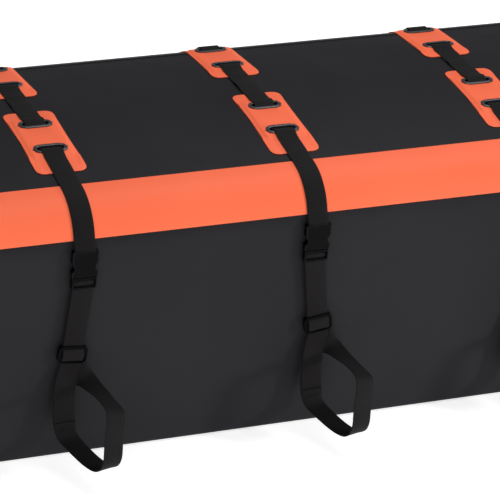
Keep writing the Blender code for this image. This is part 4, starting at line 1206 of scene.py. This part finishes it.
# %% Zip teeth
TOOTH = (0.0026, 0.0011, 0.0012)
TOOTH_PITCH, TOOTH_OFF, TOOTH_SINK = 0.0018, 0.0021, 0.0001
zip_middle = run_at_height(RIM + MOUTH / 2)
bare_from, bare_to = flap_high.y + 0.001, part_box("zip_lower")[1].y - 0.002
tooth_count = int((bare_to - bare_from) / TOOTH_PITCH)


def teeth_row(end, half):
    """One half's teeth along one end of the bag."""
    turn = -1 if end == "left" else 1
    way = -1 if half == "lower" else 1
    teeth = cube((way * TOOTH_OFF, 0, -TOOTH_SINK), TOOTH)
    edit_on(teeth)
    pick("FACE", lambda f: f.normal.x * way < -0.9)
    bpy.ops.transform.resize(value=(1, 0.7, 0.6))
    pick_all()
    bpy.ops.mesh.bevel(offset=0.0002, segments=1, affect="EDGES")
    edit_off()
    modify(teeth, "ARRAY", count=tooth_count, use_relative_offset=False, use_constant_offset=True,
           constant_offset_displace=(0, TOOTH_PITCH, 0))
    angle = (zip_middle - SHOULDER_CENTRE) / SHOULDER
    inset, height = skin(zip_middle)
    climb = Vector((turn * -sin(angle), 0, cos(angle)))
    outward = Vector((turn * cos(angle), 0, sin(angle)))
    stand = Matrix((climb, (0, 1, 0), outward)).transposed().to_4x4()
    shift = bare_from + (TOOTH_PITCH / 2 if half == "upper" else 0)
    teeth.data.transform(Matrix.Translation((turn * (LENGTH / 2 - inset), shift, height)) @ stand)
    edit_on(teeth)
    pick_all()
    bpy.ops.mesh.normals_make_consistent(inside=False)
    edit_off()
    finished(teeth, f"zip_teeth_{end}_{half}", "bag", coated_metal)


for end in ("left", "right"):
    for half in ("lower", "upper"):
        teeth_row(end, half)
print(tooth_count, "teeth in each bare row")

# %% [markdown]
# ## Studio
# The photograph was taken on white with broad soft light, so that the black cloth shows only
# faint sheen. A pale floor that glows a little, a pale sky and two large lamps give that. A
# spot at the front right is the key, and throws the soft shadow to the left of each strap.

# %% Floor and light
SKY, GLOW = 0.29, 0.62
only(camera)
bpy.ops.mesh.primitive_plane_add(size=14, location=(0, 0, -0.0005))
floor = bpy.context.object
floor.name = "studio_floor"
floor_sheet = Sheet("studio_floor", (0.92, 0.92, 0.92), 0.9, Specular_IOR_Level=0.1,
                    Emission_Color=(1, 1, 1, 1), Emission_Strength=GLOW)
floor.data.materials.append(floor_sheet.material)
floor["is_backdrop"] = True

world = bpy.data.worlds.new("studio")
world.use_nodes = True
sky = world.node_tree.nodes["Background"].inputs
sky["Color"].default_value = (1, 1, 1, 1)
sky["Strength"].default_value = SKY
bpy.context.scene.world = world


def lamp(name, kind, place, target, power, **settings):
    """A lamp that faces a target."""
    light = bpy.data.lights.new(name, kind)
    light.energy = power
    for key, value in settings.items():
        setattr(light, key, value)
    stand = bpy.data.objects.new(name, light)
    bpy.context.scene.collection.objects.link(stand)
    stand.location = place
    stand.rotation_euler = (Vector(target) - Vector(place)).to_track_quat("-Z", "Y").to_euler()


lamp("key", "SPOT", (2.6, -2.0, 0.9), (-0.35, -0.305, 0.25), 210, spot_size=radians(36),
     spot_blend=1.0, shadow_soft_size=0.16)
lamp("front_left", "AREA", (-2.2, -2.6, 1.4), (-0.5, -0.3, 0.3), 24, size=1.6)
lamp("top", "AREA", (1.2, 0.5, 3.6), (0.3, 0, 0.4), 78, size=2.6)
bpy.context.scene.view_settings.view_transform = "Standard"
print("three lamps and a pale sky")

# %% [markdown]
# ## The last look
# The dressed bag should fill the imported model's box and not leave it, so the two are compared.

# %% Compare the boxes and finish
visual_box = [list(corner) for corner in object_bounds()]
for cad, seen in zip(cad_box, visual_box):
    print("box corner off by", [round((a - b) * 1000, 1) for a, b in zip(seen, cad)], "mm")
